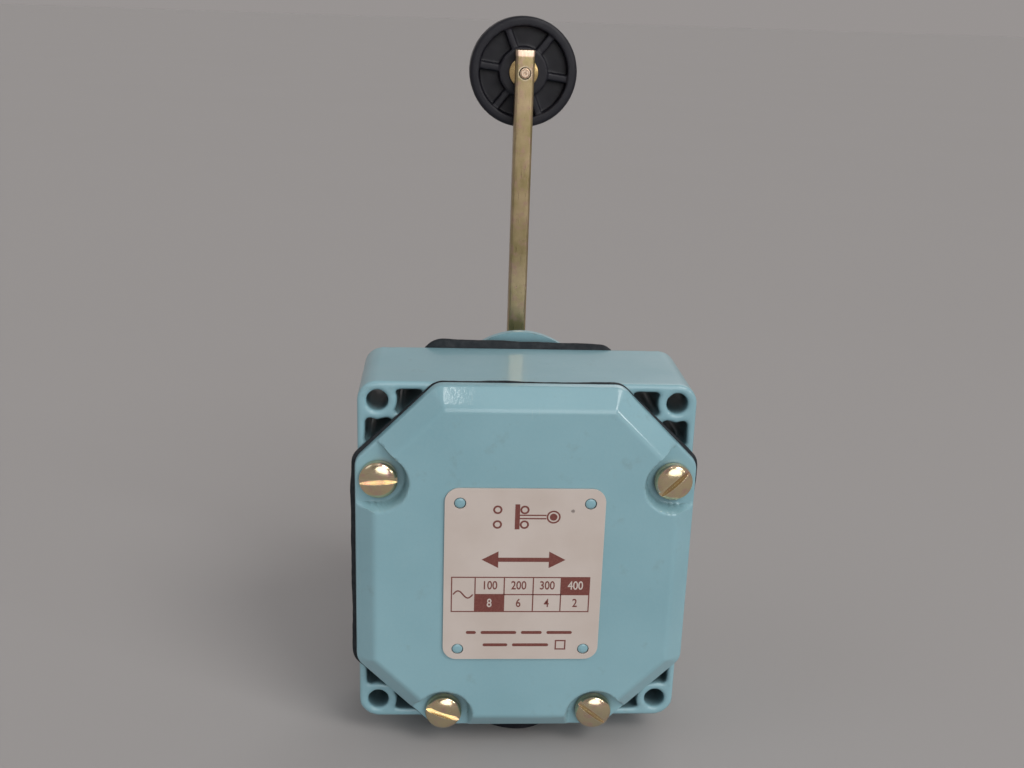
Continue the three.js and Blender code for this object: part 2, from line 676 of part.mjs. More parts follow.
const lever = new THREE.Group();
assembly.add(lever);
piece("lever_shaft", leverShaft(), STEEL, lever);
piece("retaining_ring", retainingRing(), STEEL, lever);
piece("cam", cam(), STEEL, lever);
place(piece("cam_screw", cheeseHeadScrew(CAM_SCREW), STEEL, lever), 0, CAM.front - SEAT, AXIS_Z, 20);
piece("lever_hub", leverHub(), STEEL, lever);
piece("hub_set_screw", hubSetScrew(), STEEL, lever);
const clampReach = HUB.rear - BAR_REAR - GAP;
const clampShape = cheeseHeadScrew({ ...CLAMP_SCREW, reach: clampReach });
const clampScrew = piece("lever_clamp_screw", clampShape, STEEL, lever);
place(clampScrew, 0, HUB.rear + SEAT, AXIS_Z, 60, true);
piece("lever_bar", leverBar(), PASSIVATED, lever);
piece("roller_washer", rollerWasher(), BRASS, lever);
piece("roller_pin", rollerPin(), PASSIVATED, lever);
const rollerMesh = piece("roller", roller(), BLACK_PLASTIC, lever);
rollerMesh.position.set(0, ROLLER.front, ROLLER.z);
rollerMesh.rotation.y = THREE.MathUtils.degToRad(8);

piece("plunger", plunger(), WHITE_PLASTIC);
piece("contact_bridge", contactBridge(), BRASS);
const plungerSpring = piece("plunger_spring", coil(PLUNGER_SPRING), STEEL);
plungerSpring.rotation.x = Math.PI / 2;
plungerSpring.position.set(0, PLUNGER.y, CAVITY.bottom + 0.7);
piece("contact_block", contactBlock(), BAKELITE);

let terminal = 0;
for (const side of [-1, 1]) {
  for (const z of [CONTACT.upper, CONTACT.lower]) {
    terminal += 1;
    piece(`fixed_contact_${terminal}`, fixedContact(side, z), BRASS);
    const screw = piece(`terminal_screw_${terminal}`, cheeseHeadScrew(TERMINAL_SCREW), BRASS);
    const y = BLOCK.front - CONTACT.thick - 2 * SEAT;
    place(screw, side * TERMINAL_X, y, z + CONTACT.height / 2, 25 * terminal);
  }
}

[-1, 1].forEach((side, i) => {
  const screw = piece(`block_screw_${i + 1}`, cheeseHeadScrew(BLOCK_SCREW), STEEL);
  place(screw, side * FOOT.screwX, FOOT.front - SEAT, FOOT.screwZ, 70 * side);
});
const earth = piece("earth_screw", cheeseHeadScrew(EARTH_SCREW), BRASS);
place(earth, EARTH.x, EARTH.front - SEAT, EARTH.z, 15);

piece("cable_plug", cablePlug(), BLACK_PLASTIC);
piece("plug_washer", plugWasher(), RUBBER);

// The origin: under the middle of the whole, on the plug's flat end.
const frontmost = COVER_TOP - SEAT - PLATE.thick;
const rearmost = ROLLER.front + ROLLER.width + 0.9 + PIN.headThick;
const group = new THREE.Group();
assembly.position.set(0, -(frontmost + rearmost) / 2, -FLOOR);
group.add(assembly);

export default group;
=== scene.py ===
"""Looks of a heavy-duty limit switch with a roller lever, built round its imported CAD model.

X is to the right, Y runs from the front cover back to the lever, and Z is up. Shapes are worked out in
millimetres in the CAD model's frame, and mesh_object() turns them into metres.
"""

import json
import math

import bmesh
import bpy
from mathutils import Matrix, Vector, noise

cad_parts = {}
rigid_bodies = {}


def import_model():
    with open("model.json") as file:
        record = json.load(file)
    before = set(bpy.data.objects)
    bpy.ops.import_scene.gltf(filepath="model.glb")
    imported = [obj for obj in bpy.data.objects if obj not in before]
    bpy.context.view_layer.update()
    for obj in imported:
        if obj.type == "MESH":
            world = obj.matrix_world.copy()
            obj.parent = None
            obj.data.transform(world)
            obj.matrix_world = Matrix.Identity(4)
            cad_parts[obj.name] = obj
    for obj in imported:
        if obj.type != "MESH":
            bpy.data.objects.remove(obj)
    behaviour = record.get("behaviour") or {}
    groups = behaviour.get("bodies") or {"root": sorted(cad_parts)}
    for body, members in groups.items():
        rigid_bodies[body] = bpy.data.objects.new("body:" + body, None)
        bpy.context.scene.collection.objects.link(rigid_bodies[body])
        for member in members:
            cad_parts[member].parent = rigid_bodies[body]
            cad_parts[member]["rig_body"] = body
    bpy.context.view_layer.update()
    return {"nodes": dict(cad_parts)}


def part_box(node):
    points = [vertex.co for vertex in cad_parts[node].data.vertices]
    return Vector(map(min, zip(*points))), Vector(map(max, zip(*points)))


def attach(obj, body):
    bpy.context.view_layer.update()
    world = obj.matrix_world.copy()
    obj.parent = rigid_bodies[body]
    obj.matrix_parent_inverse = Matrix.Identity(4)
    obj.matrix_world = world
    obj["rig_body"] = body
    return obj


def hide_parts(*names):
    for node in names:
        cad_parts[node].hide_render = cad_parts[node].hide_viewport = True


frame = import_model()

MM = 0.001


def box_mm(node):
    low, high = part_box(node)
    return low / MM, high / MM


# ---------------------------------------------------------------- places, from the frame

housing_low, housing_high = box_mm("housing")
cover_low, cover_high = box_mm("front_cover")
head_low, head_high = box_mm("operating_head")
plate_low, plate_high = box_mm("rating_plate")
hub_low, hub_high = box_mm("lever_hub")
bar_low, bar_high = box_mm("lever_bar")
roller_low, roller_high = box_mm("roller")
pin_low, pin_high = box_mm("roller_pin")
washer_low, washer_high = box_mm("roller_washer")
plug_low, plug_high = box_mm("cable_plug")
plug_washer_low, plug_washer_high = box_mm("plug_washer")
clamp_low, clamp_high = box_mm("lever_clamp_screw")

CENTRE_Z = (housing_low.z + housing_high.z) / 2
AXIS_Z = (hub_low.z + hub_high.z) / 2
ROLLER_Z = (roller_low.z + roller_high.z) / 2
ENTRY_Y = (plug_washer_low.y + plug_washer_high.y) / 2

# ---------------------------------------------------------------- the object's own sizes, in millimetres

PAD = 0.4  # how far the four mounting pads stand behind the housing
HOUSING = {"front": housing_low.y, "rear": housing_high.y - PAD, "corner": 5.0, "skin": 2.0, "wall": 3.0}
FIXING = {"x": 37.5, "z": 42.5, "hole": 2.75, "boss": 5.0, "neck": 2.2, "neck_reach": 9.0}
POCKET_CORNER = 0.7

OCTAGON = {"half_x": cover_high.x, "half_z": (cover_high.z - cover_low.z) / 2, "sum": 71.0, "round": 4.5}
LID = {"flange": 2.1, "rise": 4.2, "slope": 5.0}
LID_HEIGHT = LID["flange"] + LID["rise"]
LID_SCREWS = ((-37.0, 23.5, 3), (37.0, 23.5, 45), (-20.0, -43.0, -20), (20.0, -43.0, -38))
RECESS = {"floor": 6.4, "wall": 8.2}
GASKET_WIDTH = 5.5

PAN_HEAD = {"radius": 4.8, "height": 3.3, "side": 1.5, "shank": 2.5, "reach": 9.0, "slot": 1.3, "depth": 1.5}

PEG = {"x": 16.3, "top": 18.8, "bottom": -22.1, "radius": 1.3}
PLATE_CORNER = 3.6
STAIN = {"x": 11.9, "z": 18.0}  # a small ragged stain, from the plate's middle

BOSS = {"radius": 18.0, "fillet": 2.2, "bore": 7.2, "seal": 8.2, "seal_depth": 2.0}
HUB = {"chamfer": 0.7, "rear_chamfer": 1.0, "shaft_hole": 5.3, "wall": 1.6, "screw_hole": 2.8}
CLAMP_SCREW = {"radius": 4.2, "height": 3.0, "shank": 2.5}
BAR_CORNER = 0.75
RIVET = 1.45
PIN = {"axle": 3.0, "head": 1.2}
ROLLER = {"radius": 15.0, "rim": 12.4, "hub": 6.8, "bore": 3.2, "web": 1.2, "low": 0.5, "edge": 0.9}
PLUG = {"across": 24.0, "turn": 8, "chamfer": 1.6, "thread": 9.9, "washer_bore": 10.2}
SPOKES = {"count": 6, "thick": 1.9, "turn": -8}


# ---------------------------------------------------------------- mesh helpers


def mesh_object(name, vertices, faces):
    """A closed mesh from points in millimetres, with its faces turned to point out."""
    mesh = bpy.data.meshes.new(name)
    mesh.from_pydata([Vector(v) * MM for v in vertices], [], faces)
    work = bmesh.new()
    work.from_mesh(mesh)
    bmesh.ops.recalc_face_normals(work, faces=work.faces)
    work.to_mesh(mesh)
    work.free()
    made = bpy.data.objects.new(name, mesh)
    bpy.context.scene.collection.objects.link(made)
    return made


def loft(name, rings):
    """A closed mesh through rings of equally many points, with its first and last ring filled in."""
    count = len(rings[0])
    vertices = [point for ring in rings for point in ring]
    faces = [tuple(range(count)), tuple(range(len(vertices) - count, len(vertices)))]
    for row in range(len(rings) - 1):
        for i in range(count):
            a, b = row * count + i, row * count + (i + 1) % count
            faces.append((a, b, b + count, a + count))
    return mesh_object(name, vertices, faces)


def closed_loft(name, rings):
    """A closed mesh through rings that meet again at the start, such as a gasket's cross-sections."""
    rows, count = len(rings), len(rings[0])
    vertices = [point for ring in rings for point in ring]
    faces = []
    for row in range(rows):
        for i in range(count):
            a, b = row * count, (row + 1) % rows * count
            faces.append((a + i, a + (i + 1) % count, b + (i + 1) % count, b + i))
    return mesh_object(name, vertices, faces)


def prism(name, outline, front, rear, x=0.0, z=0.0):
    """An outline in X and Z, made thick from y = front to y = rear."""
    return loft(name, [[(px + x, y, pz + z) for px, pz in outline] for y in (front, rear)])


def circle(radius, segments):
    turn = 2 * math.pi / segments
    return [(radius * math.cos(i * turn), radius * math.sin(i * turn)) for i in range(segments)]


def rod(name, radius, front, rear, x=0.0, z=0.0, segments=64):
    return prism(name, circle(radius, segments), front, rear, x, z)


def turned(name, profile, x, z, segments=96):
    """A turned piece on the Y axis, from a list of radius and y. Its first and last rings are filled in."""
    return loft(name, [[(px + x, y, pz + z) for px, pz in circle(radius, segments)] for radius, y in profile])


def ring_turned(name, profile, x, z, segments=96):
    """A turned ring on the Y axis: its profile closes on itself away from the axis."""
    rings = []
    for i in range(segments):
        angle = 2 * math.pi * i / segments
        rings.append([(x + r * math.cos(angle), y, z + r * math.sin(angle)) for r, y in profile])
    return closed_loft(name, rings)


def block(name, low, high):
    outline = [(low[0], low[2]), (high[0], low[2]), (high[0], high[2]), (low[0], high[2])]
    return prism(name, outline, low[1], high[1])


def arc(centre, radius, start, end, steps):
    """Points of an arc, its angles in degrees."""
    angles = [math.radians(start + (end - start) * i / steps) for i in range(steps + 1)]
    return [(centre[0] + radius * math.cos(a), centre[1] + radius * math.sin(a)) for a in angles]


def rounded(corners, radius, arc_steps, side_steps=(1,)):
    """A convex polygon's outline with rounded corners. side_steps are the steps along each side in turn."""
    arcs = []
    for i, corner in enumerate(corners):
        corner = Vector(corner)
        back = (Vector(corners[i - 1]) - corner).normalized()
        ahead = (Vector(corners[(i + 1) % len(corners)]) - corner).normalized()
        half = back.angle(ahead) / 2
        centre = corner + (back + ahead).normalized() * radius / math.sin(half)
        start = (corner + back * radius / math.tan(half) - centre).normalized()
        end = (corner + ahead * radius / math.tan(half) - centre).normalized()
        arcs.append([centre + start.slerp(end, step / arc_steps) * radius for step in range(arc_steps + 1)])
    points = []
    for i, piece in enumerate(arcs):
        after = arcs[(i + 1) % len(arcs)][0]
        steps = side_steps[i % len(side_steps)]
        points += piece + [piece[-1].lerp(after, step / steps) for step in range(1, steps)]
    return [tuple(point) for point in points]


def rectangle(half_x, half_z):
    return [(half_x, -half_z), (half_x, half_z), (-half_x, half_z), (-half_x, -half_z)]


def octagon_corners(half_x, half_z, total):
    a, b = total - half_x, total - half_z
    upper = [(half_x, -a), (half_x, a), (b, half_z), (-b, half_z)]
    return upper + [(-x, -z) for x, z in upper]


def octagon(inset, arc_steps=8, side_steps=(1,)):
    """The outline that the cover, the gaskets and the operating head share, drawn in by inset."""
    corners = octagon_corners(
        OCTAGON["half_x"] - inset, OCTAGON["half_z"] - inset, OCTAGON["sum"] - inset * math.sqrt(2)
    )
    return rounded(corners, max(OCTAGON["round"] - inset, 1.2), arc_steps, side_steps)


OCTAGON_STEPS = (110, 56, 92, 56)  # along a side wall, a cut corner, the top or bottom, and a cut corner


def settle(made):
    """Applies the object's modifiers to its mesh."""
    graph = bpy.context.evaluated_depsgraph_get()
    mesh = bpy.data.meshes.new_from_object(made.evaluated_get(graph))
    made.modifiers.clear()
    made.data = mesh
    return made


def weld(mesh, reach=0.003):
    """Merges points closer than reach millimetres, and drops the slivers that leaves."""
    work = bmesh.new()
    work.from_mesh(mesh)
    bmesh.ops.remove_doubles(work, verts=work.verts, dist=reach * MM)
    bmesh.ops.dissolve_degenerate(work, edges=work.edges, dist=reach * MM)
    work.to_mesh(mesh)
    work.free()


def combine(base, operation, *others):
    """Joins the other solids to base, or cuts them from it, and removes them."""
    for other in others:
        modifier = base.modifiers.new("combine", "BOOLEAN")
        modifier.operation = operation
        modifier.solver = "EXACT"
        modifier.object = other
    settle(base)
    weld(base.data)
    for other in others:
        bpy.data.objects.remove(other)
    return base


def soften(made, width, segments=3, angle=35):
    """Rounds every edge sharper than angle by width millimetres, and shades the rest smooth."""
    bevel = made.modifiers.new("soften", "BEVEL")
    bevel.width = width * MM
    bevel.segments = segments
    bevel.limit_method = "ANGLE"
    bevel.angle_limit = math.radians(angle)
    bevel.use_clamp_overlap = True
    made.data.shade_smooth()
    weighted = made.modifiers.new("weight", "WEIGHTED_NORMAL")
    weighted.keep_sharp = True
    return settle(made)


def cast(made, cell, passes):
    """Rebuilds the mesh in even cells, cell millimetres wide, and relaxes it, so that every edge is soft."""
    remesh = made.modifiers.new("remesh", "REMESH")
    remesh.mode = "VOXEL"
    remesh.voxel_size = cell * MM
    relax = made.modifiers.new("relax", "SMOOTH")
    relax.factor = 0.5
    relax.iterations = passes
    settle(made)
    made.data.shade_smooth()
    return made


def smooth(made, angle=40):
    made.data.shade_smooth()
    made.data.set_sharp_from_angle(angle=math.radians(angle))
    return made


def soft_min(a, b, blend):
    overlap = max(blend - abs(a - b), 0.0) / blend
    return min(a, b) - overlap * overlap * blend / 4


def smooth_step(low, high, value):
    t = min(max((value - low) / (high - low), 0.0), 1.0)
    return t * t * (3 - 2 * t)


def finish_as(made, node, look):
    """made stands for a CAD node: it rides on that node's body, in that look."""
    made.data.materials.clear()
    made.data.materials.append(look)
    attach(made, frame["nodes"][node]["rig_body"])
    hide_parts(node)
    return made


# ---------------------------------------------------------------- materials


class Look:
    """A Principled material with the node chains for its colour, roughness and relief."""

    def __init__(self, name, sockets):
        self.material = bpy.data.materials.new(name)
        self.material.use_nodes = True
        self.tree = self.material.node_tree
        self.shader = self.tree.nodes["Principled BSDF"]
        for socket, value in sockets.items():
            self.shader.inputs[socket].default_value = value
        self.place = self.node("ShaderNodeTexCoord").outputs["Object"]

    def node(self, kind, inputs=None, **settings):
        made = self.tree.nodes.new(kind)
        for key, value in settings.items():
            setattr(made, key, value)
        for key, value in (inputs or {}).items():
            if isinstance(value, bpy.types.NodeSocket):
                self.tree.links.new(value, made.inputs[key])
            else:
                made.inputs[key].default_value = value
        return made

    def link(self, value, socket):
        self.tree.links.new(value, self.shader.inputs[socket])

    def noise(self, size, detail=3.0, stretch=(1, 1, 1), rough=0.5):
        """Noise with features of about size millimetres, drawn out along each axis by stretch."""
        scale = tuple(1 / (size * MM * s) for s in stretch)
        mapping = self.node("ShaderNodeMapping", {"Vector": self.place, "Scale": scale})
        inputs = {"Vector": mapping.outputs[0], "Scale": 1.0, "Detail": detail, "Roughness": rough}
        return self.node("ShaderNodeTexNoise", inputs).outputs["Fac"]

    def distance(self, point):
        """How far the surface is from a point given in millimetres."""
        made = self.node("ShaderNodeVectorMath", operation="DISTANCE")
        self.tree.links.new(self.place, made.inputs[0])
        made.inputs[1].default_value = Vector(point) * MM
        return made.outputs["Value"]

    def height(self):
        return self.node("ShaderNodeSeparateXYZ", {0: self.place}).outputs["Z"]

    def level(self, value, low, high, out_low=0.0, out_high=1.0):
        """value's range from low to high, spread over out_low to out_high and held there."""
        inputs = {"Value": value, "From Min": low, "From Max": high, "To Min": out_low, "To Max": out_high}
        return self.node("ShaderNodeMapRange", inputs, clamp=True).outputs[0]

    def math(self, operation, a, b):
        made = self.node("ShaderNodeMath", operation=operation)
        for socket, value in zip(made.inputs, (a, b)):
            if isinstance(value, bpy.types.NodeSocket):
                self.tree.links.new(value, socket)
            else:
                socket.default_value = value
        return made.outputs[0]

    def mix(self, factor, a, b):
        made = self.node("ShaderNodeMix", data_type="RGBA")
        for socket, value in ((made.inputs[0], factor), (made.inputs[6], a), (made.inputs[7], b)):
            if isinstance(value, bpy.types.NodeSocket):
                self.tree.links.new(value, socket)
            elif isinstance(value, tuple):
                socket.default_value = (*value, 1.0)
            else:
                socket.default_value = value
        return made.outputs[2]

    def edges(self, radius, low=0.02, high=0.25):
        """1 along edges, from how far the surface turns within radius millimetres."""
        turned_normal = self.node("ShaderNodeBevel", {"Radius": radius * MM}, samples=4).outputs[0]
        normal = self.node("ShaderNodeNewGeometry").outputs["Normal"]
        dot = self.node("ShaderNodeVectorMath", operation="DOT_PRODUCT")
        self.tree.links.new(turned_normal, dot.inputs[0])
        self.tree.links.new(normal, dot.inputs[1])
        return self.level(self.math("SUBTRACT", 1.0, dot.outputs["Value"]), low, high)

    def relief(self, *layers):
        """Bump layers, each a height and its depth in micrometres."""
        normal = None
        for height, depth in layers:
            inputs = {"Height": height, "Distance": depth * MM * MM, "Strength": 1.0}
            if normal:
                inputs["Normal"] = normal
            normal = self.node("ShaderNodeBump", inputs).outputs[0]
        self.link(normal, "Normal")
        self.link(normal, "Coat Normal")


def paint_look():
    """Glossy blue-green enamel on a casting: orange peel, faint clouding, grime, scuffs on the edges, a
    painted highlight along the edges and painted shade in the hollows.
    """
    look = Look("cast_enamel", {"Coat Weight": 0.5, "Coat Roughness": 0.08, "Specular IOR Level": 0.45})
    cloud = look.noise(28, 2)
    base = look.mix(look.level(cloud, 0.3, 0.7), (0.240, 0.440, 0.508), (0.280, 0.492, 0.562))
    mottle = look.level(look.noise(1.1, 2), 0.35, 0.75)
    base = look.mix(look.math("MULTIPLY", mottle, 0.10), base, (0.36, 0.54, 0.57))
    edge = look.edges(0.9)
    worn = look.level(look.noise(3.5, 4, rough=0.65), 0.52, 0.64)
    # Painted highlight: every edge of the enamel is painted a lighter blue-green.
    base = look.mix(look.math("MULTIPLY", edge, 0.30), base, (0.40, 0.60, 0.62))
    base = look.mix(look.math("MULTIPLY", look.math("MULTIPLY", edge, worn), 0.55), base, (0.13, 0.17, 0.17))
    grime = look.level(look.noise(7, 5, rough=0.7), 0.60, 0.78)
    base = look.mix(look.math("MULTIPLY", grime, 0.30), base, (0.17, 0.22, 0.22))
    streak = look.level(look.noise(2.2, 3, stretch=(0.35, 1, 6)), 0.70, 0.74)
    base = look.mix(look.math("MULTIPLY", streak, 0.22), base, (0.42, 0.55, 0.56))
    # Painted shade: hollows, pockets and screw recesses are painted almost black where ambient occlusion finds
    # them closed in.
    painted_hollow_shade = look.node("ShaderNodeAmbientOcclusion", {"Distance": 7 * MM}, samples=8).outputs["AO"]
    base = look.mix(look.level(painted_hollow_shade, 0.15, 0.62, 0.85, 0.0), base, (0.035, 0.055, 0.062))
    look.link(base, "Base Color")
    look.link(look.level(look.noise(12, 4), 0.3, 0.7, 0.30, 0.42), "Roughness")
    look.relief((look.noise(1.8, 1.5), 12), (look.noise(0.55, 1), 12), (streak, -3))
    return look.material


def rubber_look():
    look = Look("gasket_rubber", {"Specular IOR Level": 0.35})
    dust = look.level(look.noise(2.4, 5, rough=0.7), 0.45, 0.8)
    look.link(look.mix(dust, (0.012, 0.016, 0.021), (0.040, 0.046, 0.052)), "Base Color")
    look.link(look.level(look.noise(1.5, 3), 0.3, 0.7, 0.55, 0.8), "Roughness")
    look.relief((look.noise(0.35, 3), 14), (look.noise(3.0, 2), 40))
    return look.material


BROWN = (0.16, 0.11, 0.06)


def metal_look(name, tints, roughness, size, edge, grain=(1, 1, 1), tarnish=BROWN, reach=0.35, end=None):
    """Plated metal whose tint drifts between tints, with a painted highlight along its edges, and dull where
    it has tarnished.

    reach is how wide the painted edge highlight is. Above the height end it is painted lighter and redder, a
    painted highlight on the top end.
    """
    look = Look(name, {"Metallic": 1.0})
    first, second, third = tints
    base = look.mix(look.level(look.noise(size, 3), 0.38, 0.62), first, second)
    base = look.mix(look.level(look.noise(size * 0.45, 4, rough=0.6), 0.50, 0.66), base, third)
    spots = look.level(look.noise(size * 0.16, 5, rough=0.7), 0.60, 0.74)
    base = look.mix(look.math("MULTIPLY", spots, 0.5), base, tarnish)
    if end:
        # Painted highlight: above the height end the metal is painted lighter and redder, where the bar's top
        # end catches the light.
        wear_and_top_highlight = look.level(look.height(), (end - 0.15) * MM, (end + 0.15) * MM)
        base = look.mix(look.math("MULTIPLY", wear_and_top_highlight, 0.75), base, (0.72, 0.52, 0.42))
    # Painted highlight: the edges are painted towards the edge colour, brighter than the metal.
    base = look.mix(look.math("MULTIPLY", look.edges(reach, 0.01, 0.12), 0.75), base, edge)
    look.link(base, "Base Color")
    drawn = look.noise(0.22, 3, stretch=grain)
    rough = look.math("ADD", look.level(drawn, 0.3, 0.7, *roughness), look.math("MULTIPLY", spots, 0.2))
    look.link(rough, "Roughness")
    look.relief((drawn, 5), (look.noise(size * 0.3, 3), 9))
    return look.material


def black_plastic_look():
    """Black moulded plastic with a faint blue cast, its edges rubbed lighter in patches."""
    look = Look("black_moulding", {"Specular IOR Level": 0.35})
    base = look.mix(look.noise(6, 3), (0.0065, 0.0065, 0.011), (0.012, 0.012, 0.019))
    wear_and_top_highlight = look.math("MULTIPLY", look.edges(0.8, 0.01, 0.12), look.level(look.noise(2.0, 4), 0.45, 0.65))
    base = look.mix(look.math("MULTIPLY", wear_and_top_highlight, 0.55), base, (0.10, 0.10, 0.11))
    specks = look.level(look.noise(0.7, 4, rough=0.7), 0.66, 0.74)
    base = look.mix(look.math("MULTIPLY", specks, 0.35), base, (0.10, 0.09, 0.08))
    look.link(base, "Base Color")
    look.link(look.level(look.noise(4, 4), 0.3, 0.7, 0.36, 0.55), "Roughness")
    look.relief((look.noise(0.3, 2), 7))
    return look.material


def plate_look():
    """Cream lacquered plate: slightly yellowed, with fine specks and its rim painted lighter."""
    look = Look("lacquered_plate", {"Coat Weight": 0.15, "Coat Roughness": 0.3})
    base = look.mix(look.level(look.noise(14, 3), 0.3, 0.7), (0.60, 0.52, 0.47), (0.66, 0.585, 0.54))
    specks = look.level(look.noise(0.8, 4, rough=0.7), 0.68, 0.78)
    base = look.mix(look.math("MULTIPLY", specks, 0.35), base, (0.30, 0.22, 0.18))
    # Every edge of the plate is painted lighter.
    base = look.mix(look.math("MULTIPLY", look.edges(0.3), 0.5), base, (0.78, 0.74, 0.68))
    middle = (plate_low + plate_high) / 2
    stain = (middle.x + STAIN["x"], plate_low.y, middle.z + STAIN["z"])
    ragged = look.math("ADD", look.distance(stain), look.math("MULTIPLY", look.noise(0.5, 3), 1.1 * MM))
    base = look.mix(look.level(ragged, 0.9 * MM, 1.1 * MM, 0.75, 0.0), base, (0.16, 0.13, 0.12))
    look.link(base, "Base Color")
    look.link(look.level(look.noise(5, 3), 0.3, 0.7, 0.42, 0.58), "Roughness")
    look.relief((look.noise(0.5, 2), 5))
    return look.material


def ink_look():
    look = Look("plate_ink", {})
    thin = look.level(look.noise(0.5, 4, rough=0.65), 0.35, 0.8)
    look.link(look.mix(thin, (0.165, 0.042, 0.034), (0.245, 0.085, 0.068)), "Base Color")
    look.link(look.level(look.noise(2, 2), 0.3, 0.7, 0.45, 0.6), "Roughness")
    return look.material


def moulded_look(name, dark, light, roughness=(0.4, 0.6)):
    """Plain moulded plastic, with flow marks in its colour and a fine skin."""
    look = Look(name, {})
    look.link(look.mix(look.level(look.noise(5, 4), 0.3, 0.7), dark, light), "Base Color")
    look.link(look.level(look.noise(2, 3), 0.3, 0.7, *roughness), "Roughness")
    look.relief((look.noise(0.4, 2), 8))
    return look.material


OLIVE = ((0.36, 0.29, 0.14), (0.50, 0.385, 0.23), (0.45, 0.305, 0.22))
GOLD = ((0.78, 0.64, 0.40), (0.70, 0.60, 0.40), (0.74, 0.50, 0.41))
COPPERY = ((0.70, 0.53, 0.40), (0.76, 0.60, 0.46), (0.62, 0.46, 0.34))
BRASS = ((0.72, 0.53, 0.24), (0.78, 0.58, 0.28), (0.66, 0.46, 0.22))
BRONZE = ((0.50, 0.30, 0.15), (0.56, 0.35, 0.18), (0.44, 0.27, 0.15))
STEEL = ((0.50, 0.50, 0.50), (0.56, 0.55, 0.54), (0.46, 0.46, 0.48))
BRIGHT = (0.80, 0.80, 0.80)
GREY = (0.22, 0.20, 0.18)

paint = paint_look()
rubber = rubber_look()
# Painted highlight: the fifth colour of each metal below is painted on its edges, brighter than the metal.
BAR_EDGE_HIGHLIGHT = (0.90, 0.80, 0.60)
BAR_END = bar_high.z - 1.7
ALONG = (1, 1, 25)
bar_extras = {"grain": ALONG, "reach": 0.8, "end": BAR_END}
plated_bar = metal_look("passivated_bar", OLIVE, (0.26, 0.40), 6, BAR_EDGE_HIGHLIGHT, **bar_extras)
plated_screw = metal_look("passivated_screw", GOLD, (0.13, 0.24), 5, (0.98, 0.90, 0.66), grain=(6, 1, 1))
rivet_metal = metal_look("riveted_steel", COPPERY, (0.30, 0.42), 2, (0.85, 0.70, 0.55), reach=0.15)
brass = metal_look("turned_brass", BRASS, (0.25, 0.36), 4, (0.90, 0.76, 0.45))
bronze = metal_look("bearing_bronze", BRONZE, (0.3, 0.45), 4, (0.7, 0.5, 0.3))
steel = metal_look("zinc_steel", STEEL, (0.28, 0.42), 7, BRIGHT, tarnish=GREY)
black_plastic = black_plastic_look()
plate = plate_look()
ink = ink_look()
phenolic = moulded_look("phenolic_moulding", (0.055, 0.024, 0.012), (0.085, 0.038, 0.02))
white_plastic = moulded_look("white_moulding", (0.62, 0.60, 0.54), (0.70, 0.68, 0.62))


# ---------------------------------------------------------------- housing


def corner_pockets(sign_x, sign_z):
    """The two hollows beside a fixing hole, between the outer skin and the chamber's cut-corner wall."""
    skin_x, skin_z = housing_high.x - HOUSING["skin"], OCTAGON["half_z"] - 0.5 - HOUSING["skin"]
    reach = OCTAGON["sum"] - 0.4
    corners = [(skin_x, skin_z), (reach - skin_z, skin_z), (skin_x, reach - skin_x)]
    outline = rounded([(x * sign_x, z * sign_z) for x, z in corners], POCKET_CORNER, 5)
    front, rear = HOUSING["front"] - 2, HOUSING["rear"] + 2
    pocket = prism("pocket", outline, front, rear, z=CENTRE_Z)
    x, z = sign_x * FIXING["x"], sign_z * FIXING["z"] + CENTRE_Z
    boss = rod("boss", FIXING["boss"], front - 1, rear + 1, x, z)
    half, inward = FIXING["neck"] / 2, -FIXING["neck_reach"]
    neck_corners = [Vector(p) for p in ((0, -half), (inward, -half), (inward, half), (0, half))]
    angle = math.atan2(sign_z, sign_x)
    turn = Matrix.Rotation(angle, 2)
    neck = prism("neck", [tuple(turn @ p) for p in neck_corners], front - 1, rear + 1, x, z)
    return combine(pocket, "DIFFERENCE", boss, neck)


def make_housing():
    front, rear, wall = HOUSING["front"], HOUSING["rear"], HOUSING["wall"]
    half_x, half_z = housing_high.x, housing_high.z - CENTRE_Z
    outline = rounded(rectangle(half_x, half_z), HOUSING["corner"], 14)
    made = prism("housing_casting", outline, front, rear, z=CENTRE_Z)
    inside = octagon_corners(half_x - wall, half_z - wall, OCTAGON["sum"] + 1 - wall * math.sqrt(2))
    chamber = prism("chamber", rounded(inside, OCTAGON["round"] - wall, 8), front - 1, rear + 1, z=CENTRE_Z)
    combine(made, "DIFFERENCE", chamber)
    signs = [(x, z) for x in (-1, 1) for z in (-1, 1)]
    pads = [
        rod("pad", FIXING["boss"] - 0.1, rear - 2, rear + PAD, x * FIXING["x"], z * FIXING["z"] + CENTRE_Z)
        for x, z in signs
    ]
    combine(made, "UNION", *pads)
    holes = [
        rod("hole", FIXING["hole"], front - 2, rear + 2, x * FIXING["x"], z * FIXING["z"] + CENTRE_Z)
        for x, z in signs
    ]
    combine(made, "DIFFERENCE", *[corner_pockets(x, z) for x, z in signs], *holes)
    return finish_as(cast(made, 0.62, 2), "housing", paint)


# ---------------------------------------------------------------- front cover and operating head


def recess_reach(x, z, screw_x, screw_z):
    """How far a point is from the wedge that opens from a lid screw to the side and to the cut corner."""
    out, along = (x - screw_x) * math.copysign(1, screw_x), (z - screw_z) * math.copysign(1, screw_z)
    if OCTAGON["half_x"] - abs(screw_x) > OCTAGON["half_z"] - abs(screw_z):
        out, along = along, out
    if 0 <= along <= out:
        return 0.0
    if along < 0 < out:
        return -along
    if abs(out) < along or along > out > 0:
        return (along - out) / math.sqrt(2)
    return math.hypot(out, along)


